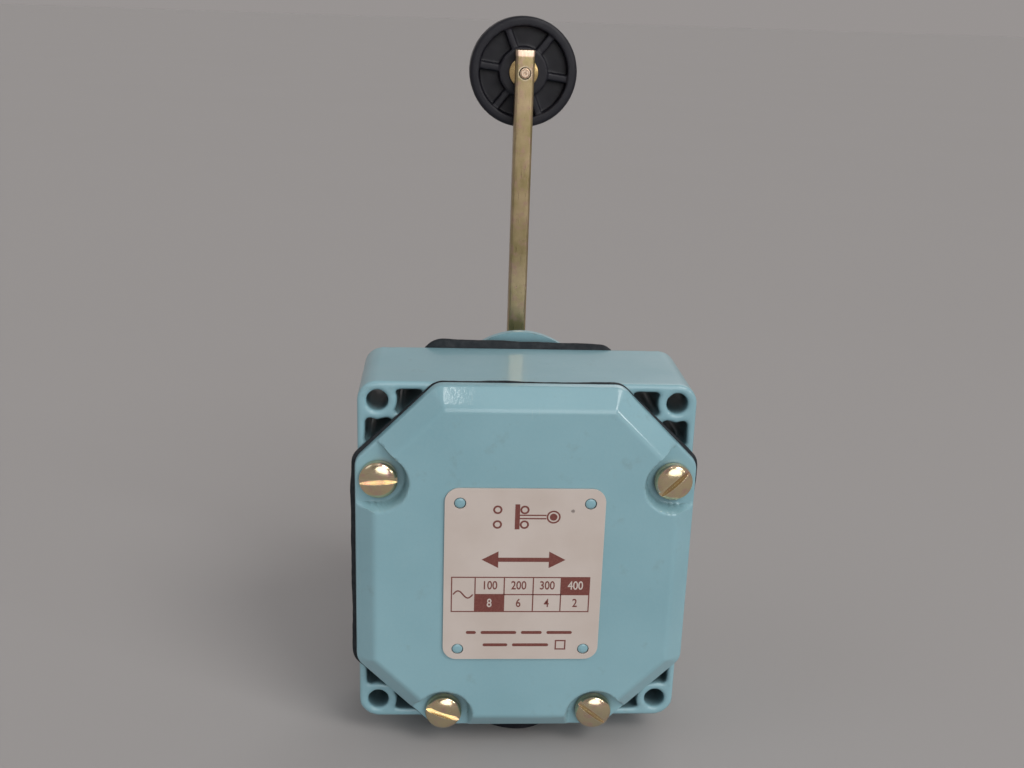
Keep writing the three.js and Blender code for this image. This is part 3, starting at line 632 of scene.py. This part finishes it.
def lid_height(inset, x, z):
    """How high the lid stands at a point inset from its edge: side, slope, plateau or screw recess."""
    side = 1.0 + 7 * inset
    slope = LID["flange"] + inset * LID["rise"] / LID["slope"]
    height = soft_min(soft_min(side, slope, 0.9), LID_HEIGHT, 0.75)
    for screw_x, screw_z, _ in LID_SCREWS:
        reach = recess_reach(x, z, screw_x, screw_z)
        if reach < RECESS["wall"] + 1:
            bowl = LID["flange"] + (LID["rise"] + 1.5) * smooth_step(RECESS["floor"], RECESS["wall"], reach)
            height = soft_min(height, bowl, 0.8)
    return height


def lid(name, seat, facing):
    """The octagonal lid on y = seat, rising towards facing: fine rings round its edge, then coarser ones."""
    insets = [0.1 * i for i in range(10)] + [1.0 + 0.4 * i for i in range(37)]
    outer = octagon(0, 8, OCTAGON_STEPS)
    rings = [[(x, seat, z + CENTRE_Z) for x, z in outer]]
    for inset in insets:
        ring = octagon(inset, 8, OCTAGON_STEPS)
        rings.append([(x, seat + facing * lid_height(inset, x, z), z + CENTRE_Z) for x, z in ring])
    return loft(name, rings)


def make_front_cover():
    made = lid("cover_casting", cover_high.y, -1)
    plateau = cover_high.y - LID_HEIGHT
    pegs = []
    for side in (-1, 1):
        for z in (PEG["top"], PEG["bottom"]):
            radius = PEG["radius"]
            profile = [(radius, plateau + 1), (radius, cover_low.y + 0.2), (0.8 * radius, cover_low.y + 0.02)]
            profile += [(0.3 * radius, cover_low.y)]
            x = (plate_low.x + plate_high.x) / 2 + side * PEG["x"]
            pegs.append(turned("peg", profile, x, z + CENTRE_Z, 32))
    combine(made, "UNION", *pegs)
    return finish_as(smooth(made, 50), "front_cover", paint)


def make_operating_head():
    made = lid("head_casting", head_low.y, 1)
    plateau, rear = head_low.y + LID_HEIGHT, head_high.y
    radius, fillet = BOSS["radius"], BOSS["fillet"]
    foot = [
        (radius + fillet * (1 - math.cos(a)), plateau - 0.05 + fillet * (1 - math.sin(a)))
        for a in (math.radians(90 - 11.25 * i) for i in range(9))
    ]
    profile = [(radius + fillet, plateau - 2)] + foot + arc((radius - 1.1, rear - 1.1), 1.1, 0, 90, 6)
    boss = turned("boss", profile, 0, AXIS_Z, 128)
    combine(made, "UNION", boss)
    seal_floor = rear - BOSS["seal_depth"]
    bore = [
        (BOSS["bore"], head_low.y - 1),
        (BOSS["bore"], seal_floor),
        (BOSS["seal"], seal_floor),
        (BOSS["seal"], rear - 0.5),
        (BOSS["seal"] + 1.5, rear + 1),
    ]
    combine(made, "DIFFERENCE", turned("bore", bore, 0, AXIS_Z))
    return finish_as(smooth(made, 40), "operating_head", paint)


# ---------------------------------------------------------------- gaskets and plate


def make_gasket(name, node, front, rear, proud):
    """A cut rubber sheet between two castings. proud(x, z) is how far its edge is squeezed out there."""
    inner = octagon(GASKET_WIDTH, 8, OCTAGON_STEPS)
    edge = octagon(0, 8, OCTAGON_STEPS)
    outside = octagon(-1, 8, OCTAGON_STEPS)
    sections = []
    for (ix, iz), (ex, ez), (ox, oz) in zip(inner, edge, outside):
        place = Vector((ex, front, ez))
        reach = proud(ex, ez) + 0.25 * noise.noise(place / 9) + 0.08 * noise.noise(place / 2.2)
        section = [(ix, front, iz), (ix, rear, iz)]
        middle, bend = (front + rear) / 2, 0.18
        for back, y in ((0.35, rear), (0.08, rear - bend), (0.0, middle), (0.08, front + bend), (0.35, front)):
            out = reach - back
            section.append((ex + (ox - ex) * out, y, ez + (oz - ez) * out))
        sections.append([(x, y, z + CENTRE_Z) for x, y, z in section])
    made = closed_loft(name, sections)
    return finish_as(smooth(made, 60), node, rubber)


def front_squeeze(x, z):
    upper = max(z - 20, 0) / (OCTAGON["half_z"] - 20)
    bulge = 0.6 * math.exp(-((x - 41) ** 2 + (z - 30) ** 2) / 60)
    return max(0.66 - 0.54 * x / OCTAGON["half_x"] - 0.75 * upper, 0.22) + bulge


def rear_squeeze(x, z):
    upper = max(z, 0) / OCTAGON["half_z"]
    return 0.6 + 0.75 * upper - 0.45 * upper * x / 24


def make_plate():
    half_x, half_z = (plate_high.x - plate_low.x) / 2, (plate_high.z - plate_low.z) / 2
    x, z = (plate_low.x + plate_high.x) / 2, (plate_low.z + plate_high.z) / 2
    outline = rounded(rectangle(half_x, half_z), PLATE_CORNER, 12)
    made = prism("plate_sheet", outline, plate_low.y, plate_high.y, x, z)
    radius, front, rear = PEG["radius"] + 0.22, plate_low.y - 1, plate_high.y + 1
    holes = [
        rod("hole", radius, front, rear, x + side * PEG["x"], peg_z + CENTRE_Z, 40)
        for side in (-1, 1)
        for peg_z in (PEG["top"], PEG["bottom"])
    ]
    combine(made, "DIFFERENCE", *holes)
    soften(made, 0.12, 2, 40)
    return finish_as(made, "rating_plate", plate)


# ---------------------------------------------------------------- print on the plate


class Print:
    """Flat marks on the plate, laid out in millimetres from a point just above its middle."""

    INK_DEPTH = 0.03
    SUNK = 0.02
    RISE = 0.9

    def __init__(self):
        self.x = (plate_low.x + plate_high.x) / 2
        self.z = (plate_low.z + plate_high.z) / 2 + self.RISE
        self.marks = []

    def add(self, made):
        self.marks.append(made)

    def patch(self, outline, x=0.0, z=0.0):
        front, rear = plate_low.y - self.INK_DEPTH, plate_low.y + self.SUNK
        self.add(prism("mark", outline, front, rear, self.x + x, self.z + z))

    def bar(self, x0, x1, z0, z1):
        self.patch([(x0, z0), (x1, z0), (x1, z1), (x0, z1)])

    def frame(self, x0, x1, z0, z1, line):
        for x in (x0, x1 - line):
            self.bar(x, x + line, z0, z1)
        for z in (z0, z1 - line):
            self.bar(x0 + line, x1 - line, z, z + line)

    def ring(self, x, z, outer, inner):
        front, rear = plate_low.y - self.INK_DEPTH, plate_low.y + self.SUNK
        profile = [(inner, front), (inner, rear), (outer, rear), (outer, front)]
        self.add(ring_turned("mark", profile, self.x + x, self.z + z, 48))

    def stroke(self, points, width):
        """A line of that width through points."""
        sides = ([], [])
        for i, (x, z) in enumerate(points):
            x0, z0 = points[max(i - 1, 0)]
            x1, z1 = points[min(i + 1, len(points) - 1)]
            across = Vector((z0 - z1, x1 - x0)).normalized() * width / 2
            sides[0].append((x + across.x, z + across.y))
            sides[1].append((x - across.x, z - across.y))
        for i in range(len(points) - 1):
            self.patch([sides[0][i], sides[0][i + 1], sides[1][i + 1], sides[1][i]])

    def number(self, text, x, z, size, lift=0.0):
        """Digits centred on x and z. A lift stands them on a printed cell."""
        curve = bpy.data.curves.new("digits", "FONT")
        curve.body = text
        curve.size = size * MM
        curve.align_x, curve.align_y = "CENTER", "CENTER"
        curve.extrude = (self.INK_DEPTH + self.SUNK) / 2 * MM
        curve.offset = 0.012 * size * MM
        flat = bpy.data.objects.new("digits", curve)
        bpy.context.scene.collection.objects.link(flat)
        graph = bpy.context.evaluated_depsgraph_get()
        mesh = bpy.data.meshes.new_from_object(flat.evaluated_get(graph))
        bpy.data.objects.remove(flat)
        y = plate_low.y - (self.INK_DEPTH - self.SUNK) / 2 - lift
        place = Matrix.Translation(Vector((self.x + x, y, self.z + z)) * MM)
        mesh.transform(place @ Matrix.Rotation(math.pi / 2, 4, "X") @ Matrix.Diagonal((0.8, 1, 1, 1)))
        made = bpy.data.objects.new("digits", mesh)
        bpy.context.scene.collection.objects.link(made)
        return made

    def joined(self, name, marks, look):
        work = bmesh.new()
        for mark in marks:
            work.from_mesh(mark.data)
            bpy.data.objects.remove(mark)
        mesh = bpy.data.meshes.new(name)
        work.to_mesh(mesh)
        work.free()
        mesh.materials.clear()
        mesh.materials.append(look)
        for polygon in mesh.polygons:
            polygon.material_index = 0
        made = bpy.data.objects.new(name, mesh)
        bpy.context.scene.collection.objects.link(made)
        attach(made, frame["nodes"]["rating_plate"]["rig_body"])
        return made


TABLE = {"left": -18.2, "right": 17.2, "top": -1.1, "bottom": -11.1, "line": 0.3}
COLUMNS = (-12.1, -4.7, 2.7, 9.8)
TABLE_TEXT = (("100", "8"), ("200", "6"), ("300", "4"), ("400", "2"))
UPPER_RULE = (-17.0, ((-14.2, -11.6), (-10.4, -1.2), (0.0, 5.4), (6.6, 13.2)))
LOWER_RULE = (-20.6, ((-9.8, -3.4), (-2.2, 7.2)))


def print_symbol(marks):
    """The switching symbol: two pairs of contacts, a bar that bridges one pair, and the roller lever."""
    for x in (-6.9, -0.15):
        for z in (13.4, 17.4):
            marks.ring(x, z, 1.15, 0.68)
    marks.bar(-2.55, -1.35, 12.1, 18.9)
    for z in (15.05, 15.95):
        marks.bar(-1.35, 5.3, z - 0.17, z + 0.17)
    marks.ring(7.1, 15.5, 1.75, 1.35)
    marks.patch(circle(0.95, 40), 7.1, 15.5)


def print_swing_arrow(marks):
    """A plain double arrow for the lever's two ways to swing."""
    half, head, middle, thick = 10.6, 4.2, 3.7, 1.15
    marks.bar(-half + head, half - head, middle - thick / 2, middle + thick / 2)
    for side in (-1, 1):
        tip, foot = side * half, side * (half - head)
        marks.patch([(tip, middle), (foot, middle + 2.3), (foot, middle - 2.3)])


def print_table(marks):
    """A ruled table with a wave in its first cell, two cells filled in, and plain numbers."""
    line, middle = TABLE["line"], (TABLE["top"] + TABLE["bottom"]) / 2
    columns, right = COLUMNS, TABLE["right"]
    marks.frame(TABLE["left"], right, TABLE["bottom"], TABLE["top"], line)
    for x in columns:
        marks.bar(x - line / 2, x + line / 2, TABLE["bottom"] + line, TABLE["top"] - line)
    marks.bar(columns[0] + line / 2, right - line, middle - line / 2, middle + line / 2)
    marks.bar(columns[3] + line / 2, right - line, middle + line / 2, TABLE["top"] - line)
    marks.bar(columns[0] + line / 2, columns[1] - line / 2, TABLE["bottom"] + line, middle - line / 2)
    wave_x = (TABLE["left"] + columns[0]) / 2
    wave = [(wave_x + 5.0 * (t / 24 - 0.5), middle + 1.0 * math.sin(2 * math.pi * t / 24)) for t in range(25)]
    marks.stroke(wave, 0.36)
    dark, light = [], []
    edges = (*columns, right)
    for i, texts in enumerate(TABLE_TEXT):
        x = (edges[i] + edges[i + 1]) / 2
        for text, rise, filled in zip(texts, (2.5, -2.5), (3, 0)):
            on_ink = i == filled
            number = marks.number(text, x, middle + rise, 3.3, lift=0.02 if on_ink else 0)
            (light if on_ink else dark).append(number)
    marks.marks += dark
    return light


def print_rules(marks):
    """Two lines of plain rounded dashes and a small open square, where a maker would sign the plate."""
    half = 0.42
    for z, dashes in (UPPER_RULE, LOWER_RULE):
        for start, end in dashes:
            outline = arc((end - half, z), half, -90, 90, 8) + arc((start + half, z), half, 90, 270, 8)
            marks.patch(outline)
    marks.frame(8.9, 11.7, -22.0, -19.2, 0.35)


def make_print():
    marks = Print()
    print_symbol(marks)
    print_swing_arrow(marks)
    light = print_table(marks)
    print_rules(marks)
    marks.joined("plate_print", marks.marks, ink)
    marks.joined("plate_numbers", light, plate)


# ---------------------------------------------------------------- screws


def pan_head_screw():
    """A slotted pan-head screw, its head's underside at y = 0 and its head towards negative y."""
    radius, height, side = PAN_HEAD["radius"], PAN_HEAD["height"], PAN_HEAD["side"]
    dome = []
    for i in range(17):
        r = radius * math.sin(math.radians(90 - 5.4 * i))
        dome.append((r, -side - (height - side) * math.sqrt(max(1 - (r / radius) ** 2.5, 0))))
    shank = PAN_HEAD["shank"]
    body = [(shank, PAN_HEAD["reach"]), (shank, 0.0), (radius - 0.25, 0.0), (radius, -0.25)]
    made = turned("screw", body + dome, 0, 0, 72)
    half = PAN_HEAD["slot"] / 2
    slot = block("slot", (-radius - 1, -height - 1, -half), (radius + 1, PAN_HEAD["depth"] - height, half))
    combine(made, "DIFFERENCE", slot)
    return soften(made, 0.14, 2, 40)


def slotted_screw(radius, height, shank, reach):
    """A cheese-head screw of the same layout."""
    body = [(shank, reach), (shank, 0.0), (radius - 0.1, 0.0), (radius, -0.1)]
    body += arc((radius - 0.5, 0.5 - height), 0.5, 0, -90, 5)
    made = turned("screw", body, 0, 0, 64)
    slot = block("slot", (-radius - 1, -height - 1, -0.5), (radius + 1, 0.9 - height, 0.5))
    combine(made, "DIFFERENCE", slot)
    return soften(made, 0.1, 2, 40)


def placed_screw(master, node, place, degrees, facing_rear, look, slot):
    made = bpy.data.objects.new(f"{node}_turned", master.data.copy())
    bpy.context.scene.collection.objects.link(made)
    turn = Matrix.Rotation(math.radians(-degrees), 4, "Y")
    if facing_rear:
        turn = turn @ Matrix.Rotation(math.pi, 4, "X")
    made.data.transform(Matrix.Translation(Vector(place) * MM) @ turn)
    return finish_as(made, node, look)


def make_screws():
    master = pan_head_screw()
    for i, (x, z, degrees) in enumerate(LID_SCREWS, 1):
        front, rear = cover_high.y - LID["flange"], head_low.y + LID["flange"]
        finish = (plated_screw, "passivated_steel")
        placed_screw(master, f"cover_screw_{i}", (x, front, z + CENTRE_Z), degrees, False, *finish)
        placed_screw(master, f"head_screw_{i}", (x, rear, z + CENTRE_Z), degrees + 30, True, *finish)
    bpy.data.objects.remove(master)
    clamp = slotted_screw(**CLAMP_SCREW, reach=clamp_high.y - clamp_low.y - CLAMP_SCREW["height"])
    placed_screw(clamp, "lever_clamp_screw", (0, hub_high.y, AXIS_Z), 60, True, steel, "steel")
    bpy.data.objects.remove(clamp)


# ---------------------------------------------------------------- lever


def make_hub():
    radius = (hub_high.x - hub_low.x) / 2
    front, rear = hub_low.y, hub_high.y
    near, far = HUB["chamfer"], HUB["rear_chamfer"]
    profile = [(radius - near, front), (radius, front + near), (radius, rear - far), (radius - far, rear)]
    made = turned("hub_body", profile, 0, AXIS_Z, 128)
    fit = 0.12
    half = bar_high.x + fit
    low, high = (-half, bar_low.y - fit, hub_low.z - 2), (half, bar_high.y + fit, hub_high.z + 2)
    channel = block("channel", low, high)
    shaft = rod("shaft", HUB["shaft_hole"], front - 1, bar_low.y - HUB["wall"], 0, AXIS_Z)
    combine(made, "DIFFERENCE", channel, shaft)
    combine(made, "DIFFERENCE", rod("clamp_hole", HUB["screw_hole"], bar_high.y - 1, rear + 1, 0, AXIS_Z))
    soften(made, 0.3, 2, 40)
    return finish_as(made, "lever_hub", steel)


def make_bar():
    """A square drawn bar, its upper end sawn off and burred a little."""
    half, middle_y = bar_high.x, (bar_low.y + bar_high.y) / 2
    top, bottom = bar_high.z, bar_low.z
    rows = [(bottom, -0.35, 0.0), (bottom + 0.35, 0.0, 0.0)]
    rows += [(bottom + 3 + 5.0 * i, 0.0, 0.0) for i in range(20)]
    rows += [(top - 2.0, 0.0, 0.0), (top - 1.6, 0.04, 0.06), (top - 0.5, 0.11, 0.32), (top - 0.12, 0.1, 0.42)]
    rows += [(top, -0.12, 0.5)]
    rings = []
    for z, grow, back in rows:
        drift = 0.03 * noise.noise(Vector((0.0, 0.0, z / 11)))
        outline = rounded(rectangle(half + grow, half + grow), BAR_CORNER, 6, (3,))
        ring = []
        for x, y in outline:
            push = back * smooth_step(half * 0.3, -half, y)
            ring.append((x + drift, middle_y + y + push, z))
        rings.append(ring)
    made = loft("bar_drawn", rings)
    hole = rod("hole", RIVET + 0.22, bar_low.y - 1, bar_high.y + 1, 0, ROLLER_Z, 48)
    combine(made, "DIFFERENCE", hole)
    return finish_as(smooth(made, 38), "lever_bar", plated_bar)


def make_pin():
    """The roller's pin: riveted over in front of the bar, with a centre-punch mark, and headed behind."""
    front = pin_low.y
    rivet = [(0.28, front + 0.7), (0.36, front + 0.1), (0.46, front), (0.98, front), (1.06, front + 0.2)]
    rivet += [(1.14, front), (RIVET - 0.14, front + 0.03), (RIVET, front + 0.25)]
    head = (pin_high.x - pin_low.x) / 2
    axle, axle_front, head_front = PIN["axle"], washer_high.y + 0.1, pin_high.y - PIN["head"]
    profile = rivet + [(RIVET, axle_front), (axle, axle_front), (axle, head_front), (head - 0.2, head_front)]
    profile += arc((head - 0.4, head_front + 0.4), 0.4, -45, 0, 3)[1:]
    profile += arc((head - 0.5, pin_high.y - 0.5), 0.5, 0, 90, 5)
    profile += [(0.6, pin_high.y), (0.2, pin_high.y - 0.35)]
    made = turned("pin_rivet", profile, 0, ROLLER_Z)
    return finish_as(smooth(made, 30), "roller_pin", rivet_metal)


def make_washer():
    radius, front, rear = (washer_high.x - washer_low.x) / 2, washer_low.y, washer_high.y
    profile = [(RIVET + 0.3, front), (RIVET + 0.3, rear), (radius - 0.2, rear), (radius, rear - 0.2)]
    profile += [(radius, front + 0.2), (radius - 0.2, front)]
    made = ring_turned("washer_ring", profile, 0, ROLLER_Z)
    return finish_as(smooth(made, 50), "roller_washer", brass)


def roller_pocket(front, rear, start):
    """The hollow between two spokes, from the hub to the rim, as a cutter with rounded corners."""
    half = SPOKES["thick"] / 2
    inner, outer = ROLLER["hub"], ROLLER["rim"]
    sector = 2 * math.pi / SPOKES["count"]
    points = []
    for radius, flip in ((inner, 1), (outer, -1)):
        low = math.asin(half / radius)
        sweep = [low + (sector - 2 * low) * i / 14 for i in range(15)]
        for angle in sweep[::flip]:
            points.append((radius * math.cos(start + angle), radius * math.sin(start + angle)))
    return prism("pocket", points, front, rear, z=ROLLER_Z)


def make_roller():
    radius, front, rear = ROLLER["radius"], roller_low.y, roller_high.y
    rim, hub, bore, web = ROLLER["rim"], ROLLER["hub"], ROLLER["bore"], ROLLER["web"]
    middle = (front + rear) / 2
    low = ROLLER["low"]  # how far the spokes stand below the two faces
    profile = [(bore, front + 0.3), (bore + 0.3, front), (hub, front), (hub, front + low)]
    profile += [(rim, front + low), (rim, front)]
    edge = ROLLER["edge"]
    profile += arc((radius - edge, front + edge), edge, -90, 0, 5)
    profile += arc((radius - edge, rear - edge), edge, 0, 90, 5)
    profile += [(rim, rear), (rim, rear - low), (hub, rear - low), (hub, rear)]
    profile += [(bore + 0.3, rear), (bore, rear - 0.3)]
    made = ring_turned("roller_wheel", profile, 0, ROLLER_Z, 144)
    pockets = []
    for i in range(SPOKES["count"]):
        start = math.radians(SPOKES["turn"] + i * 360 / SPOKES["count"])
        pockets.append(roller_pocket(front - 1, middle - web, start))
        pockets.append(roller_pocket(middle + web, rear + 1, start))
    combine(made, "DIFFERENCE", *pockets)
    return finish_as(cast(made, 0.24, 6), "roller", black_plastic)


# ---------------------------------------------------------------- cable entry


def make_plug():
    """The hexagonal blanking plug that the switch stands on, its corners turned off."""
    across, turn = PLUG["across"], math.radians(PLUG["turn"])
    corner = across / math.sqrt(3)
    bottom, top = plug_low.z, plug_washer_low.z
    hexagon = []
    for i in range(6):
        angle = turn + math.pi / 2 + i * math.pi / 3
        hexagon.append((corner * math.cos(angle), corner * math.sin(angle)))
    rings = [[(x, ENTRY_Y + y, z) for x, y in rounded(hexagon, 0.4, 3, (8,))] for z in (bottom, top)]
    made = loft("plug_moulding", rings)
    chamfer = []
    wide, rise = corner + 0.5, PLUG["chamfer"]
    for radius, z in ((across / 2 - 0.3, bottom - 0.01), (wide, bottom + rise), (wide, top + 1)):
        chamfer.append([(x, ENTRY_Y + y, z) for x, y in circle(radius, 96)])
    combine(made, "INTERSECT", loft("chamfer", chamfer))
    thread = [[(x, ENTRY_Y + y, z) for x, y in circle(PLUG["thread"], 64)] for z in (top - 1, plug_high.z)]
    combine(made, "UNION", loft("thread", thread))
    soften(made, 0.25, 2, 20)
    return finish_as(made, "cable_plug", black_plastic)


def make_plug_washer():
    outer = (plug_washer_high.x - plug_washer_low.x) / 2
    low, high = plug_washer_low.z - 0.04, plug_washer_high.z + 0.04
    side = [(outer - 0.25, low), (outer, low + 0.3), (outer, high - 0.3), (outer - 0.25, high)]
    profile = [(PLUG["washer_bore"], low), *side, (PLUG["washer_bore"], high)]
    rings = []
    for i in range(96):
        angle = 2 * math.pi * i / 96
        rings.append([(r * math.cos(angle), ENTRY_Y + r * math.sin(angle), z) for r, z in profile])
    made = closed_loft("plug_washer_ring", rings)
    return finish_as(smooth(made, 50), "plug_washer", rubber)


# ---------------------------------------------------------------- pieces that keep their CAD shape


def dress_inner_pieces():
    """The works inside the housing keep their CAD meshes and get a look each."""
    looks = {
        "lever_shaft": steel,
        "retaining_ring": steel,
        "return_spring": steel,
        "plunger_spring": steel,
        "cam": steel,
        "cam_screw": steel,
        "hub_set_screw": steel,
        "block_screw": steel,
        "bearing_bush": bronze,
        "shaft_seal": rubber,
        "contact_bridge": brass,
        "fixed_contact": brass,
        "terminal_screw": brass,
        "earth_screw": brass,
        "contact_block": phenolic,
        "plunger": white_plastic,
    }
    for name, node in frame["nodes"].items():
        if node.hide_render:
            continue
        stem = name if name in looks else name.rsplit("_", 1)[0]
        node.data.materials.clear()
        node.data.materials.append(looks[stem])


# ---------------------------------------------------------------- stage, light and camera


def make_stage():
    half = 30000.0
    floor = block("floor", (-half, -half, -50.0), (half, half, 0.0))
    look = Look("studio_floor", {"Specular IOR Level": 0.0})
    look.link(look.mix(look.noise(300, 3), (0.419, 0.408, 0.407), (0.429, 0.418, 0.418)), "Base Color")
    look.link(look.level(look.noise(40, 3), 0.3, 0.7, 0.6, 0.7), "Roughness")
    floor.data.materials.append(look.material)


def light(kind, name, place, colour, energy, size):
    """A light that looks at the switch from place. size is a lamp's width in metres or a sun's in degrees."""
    data = bpy.data.lights.new(name, kind)
    data.energy = energy
    data.color = colour
    if kind == "SUN":
        data.angle = math.radians(size)
    else:
        data.shape = "DISK"
        data.size = size
    made = bpy.data.objects.new(name, data)
    made.location = place
    made.rotation_euler = (Vector((0, 0, 0.08)) - Vector(place)).to_track_quat("-Z", "Y").to_euler()
    bpy.context.scene.collection.objects.link(made)


def make_lights():
    """Broad, even light from all round, stronger from the upper right, and two small lamps for glints."""
    light("SUN", "key", (0.42, -0.50, 0.72), (1.0, 0.97, 0.93), 0.85, 24)
    light("SUN", "window", (-0.75, -0.25, 0.80), (0.93, 0.97, 1.0), 0.15, 30)
    light("SUN", "rear", (0.35, 0.75, 0.60), (1.0, 0.98, 0.96), 0.40, 35)
    light("SUN", "sky", (0.10, -0.20, 0.60), (1.0, 1.0, 1.0), 0.12, 60)
    light("SUN", "front", (0.20, -1.00, 0.43), (1.0, 1.0, 1.0), 0.86, 40)
    light("AREA", "lamp_above", (-0.03, -0.36, 0.70), (1.0, 0.99, 0.97), 0.06, 0.04)
    light("AREA", "lamp_right", (0.55, -0.42, 0.30), (1.0, 0.99, 0.97), 0.25, 0.06)
    world = bpy.data.worlds.new("studio")
    world.use_nodes = True
    nodes, links = world.node_tree.nodes, world.node_tree.links
    # A dim patch of room in front of the switch, for metal to mirror.
    towards = nodes.new("ShaderNodeVectorMath")
    towards.operation = "DOT_PRODUCT"
    towards.inputs[1].default_value = Vector((0, -0.85, 0.53)).normalized()
    links.new(nodes.new("ShaderNodeTexCoord").outputs["Generated"], towards.inputs[0])
    dim = nodes.new("ShaderNodeMapRange")
    for socket, value in (("From Min", 0.88), ("From Max", 0.98), ("To Min", 1.0), ("To Max", 0.4)):
        dim.inputs[socket].default_value = value
    links.new(towards.outputs["Value"], dim.inputs["Value"])
    background = nodes["Background"]
    background.inputs["Color"].default_value = (0.312, 0.292, 0.286, 1.0)
    links.new(dim.outputs[0], background.inputs["Strength"])
    bpy.context.scene.world = world


def make_camera():
    """Above the switch and a little to its left, looking down at it by about 18 degrees."""
    data = bpy.data.cameras.new("camera")
    data.lens = 40.57
    data.sensor_width = 36.0
    camera = bpy.data.objects.new("camera", data)
    camera.location = (-0.0218, -0.3032, 0.1889)
    camera.rotation_euler = tuple(math.radians(a) for a in (72.16, -1.80, -3.12))
    bpy.context.scene.collection.objects.link(camera)
    bpy.context.scene.camera = camera


make_camera()
make_lights()
make_stage()
make_housing()
make_front_cover()
make_operating_head()
make_gasket("front_gasket_sheet", "front_gasket", cover_high.y, HOUSING["front"], front_squeeze)
make_gasket("rear_gasket_sheet", "rear_gasket", HOUSING["rear"], head_low.y, rear_squeeze)
make_plate()
make_print()
make_screws()
make_hub()
make_bar()
make_pin()
make_washer()
make_roller()
make_plug()
make_plug_washer()
dress_inner_pieces()
bpy.context.scene.view_settings.view_transform = "Standard"
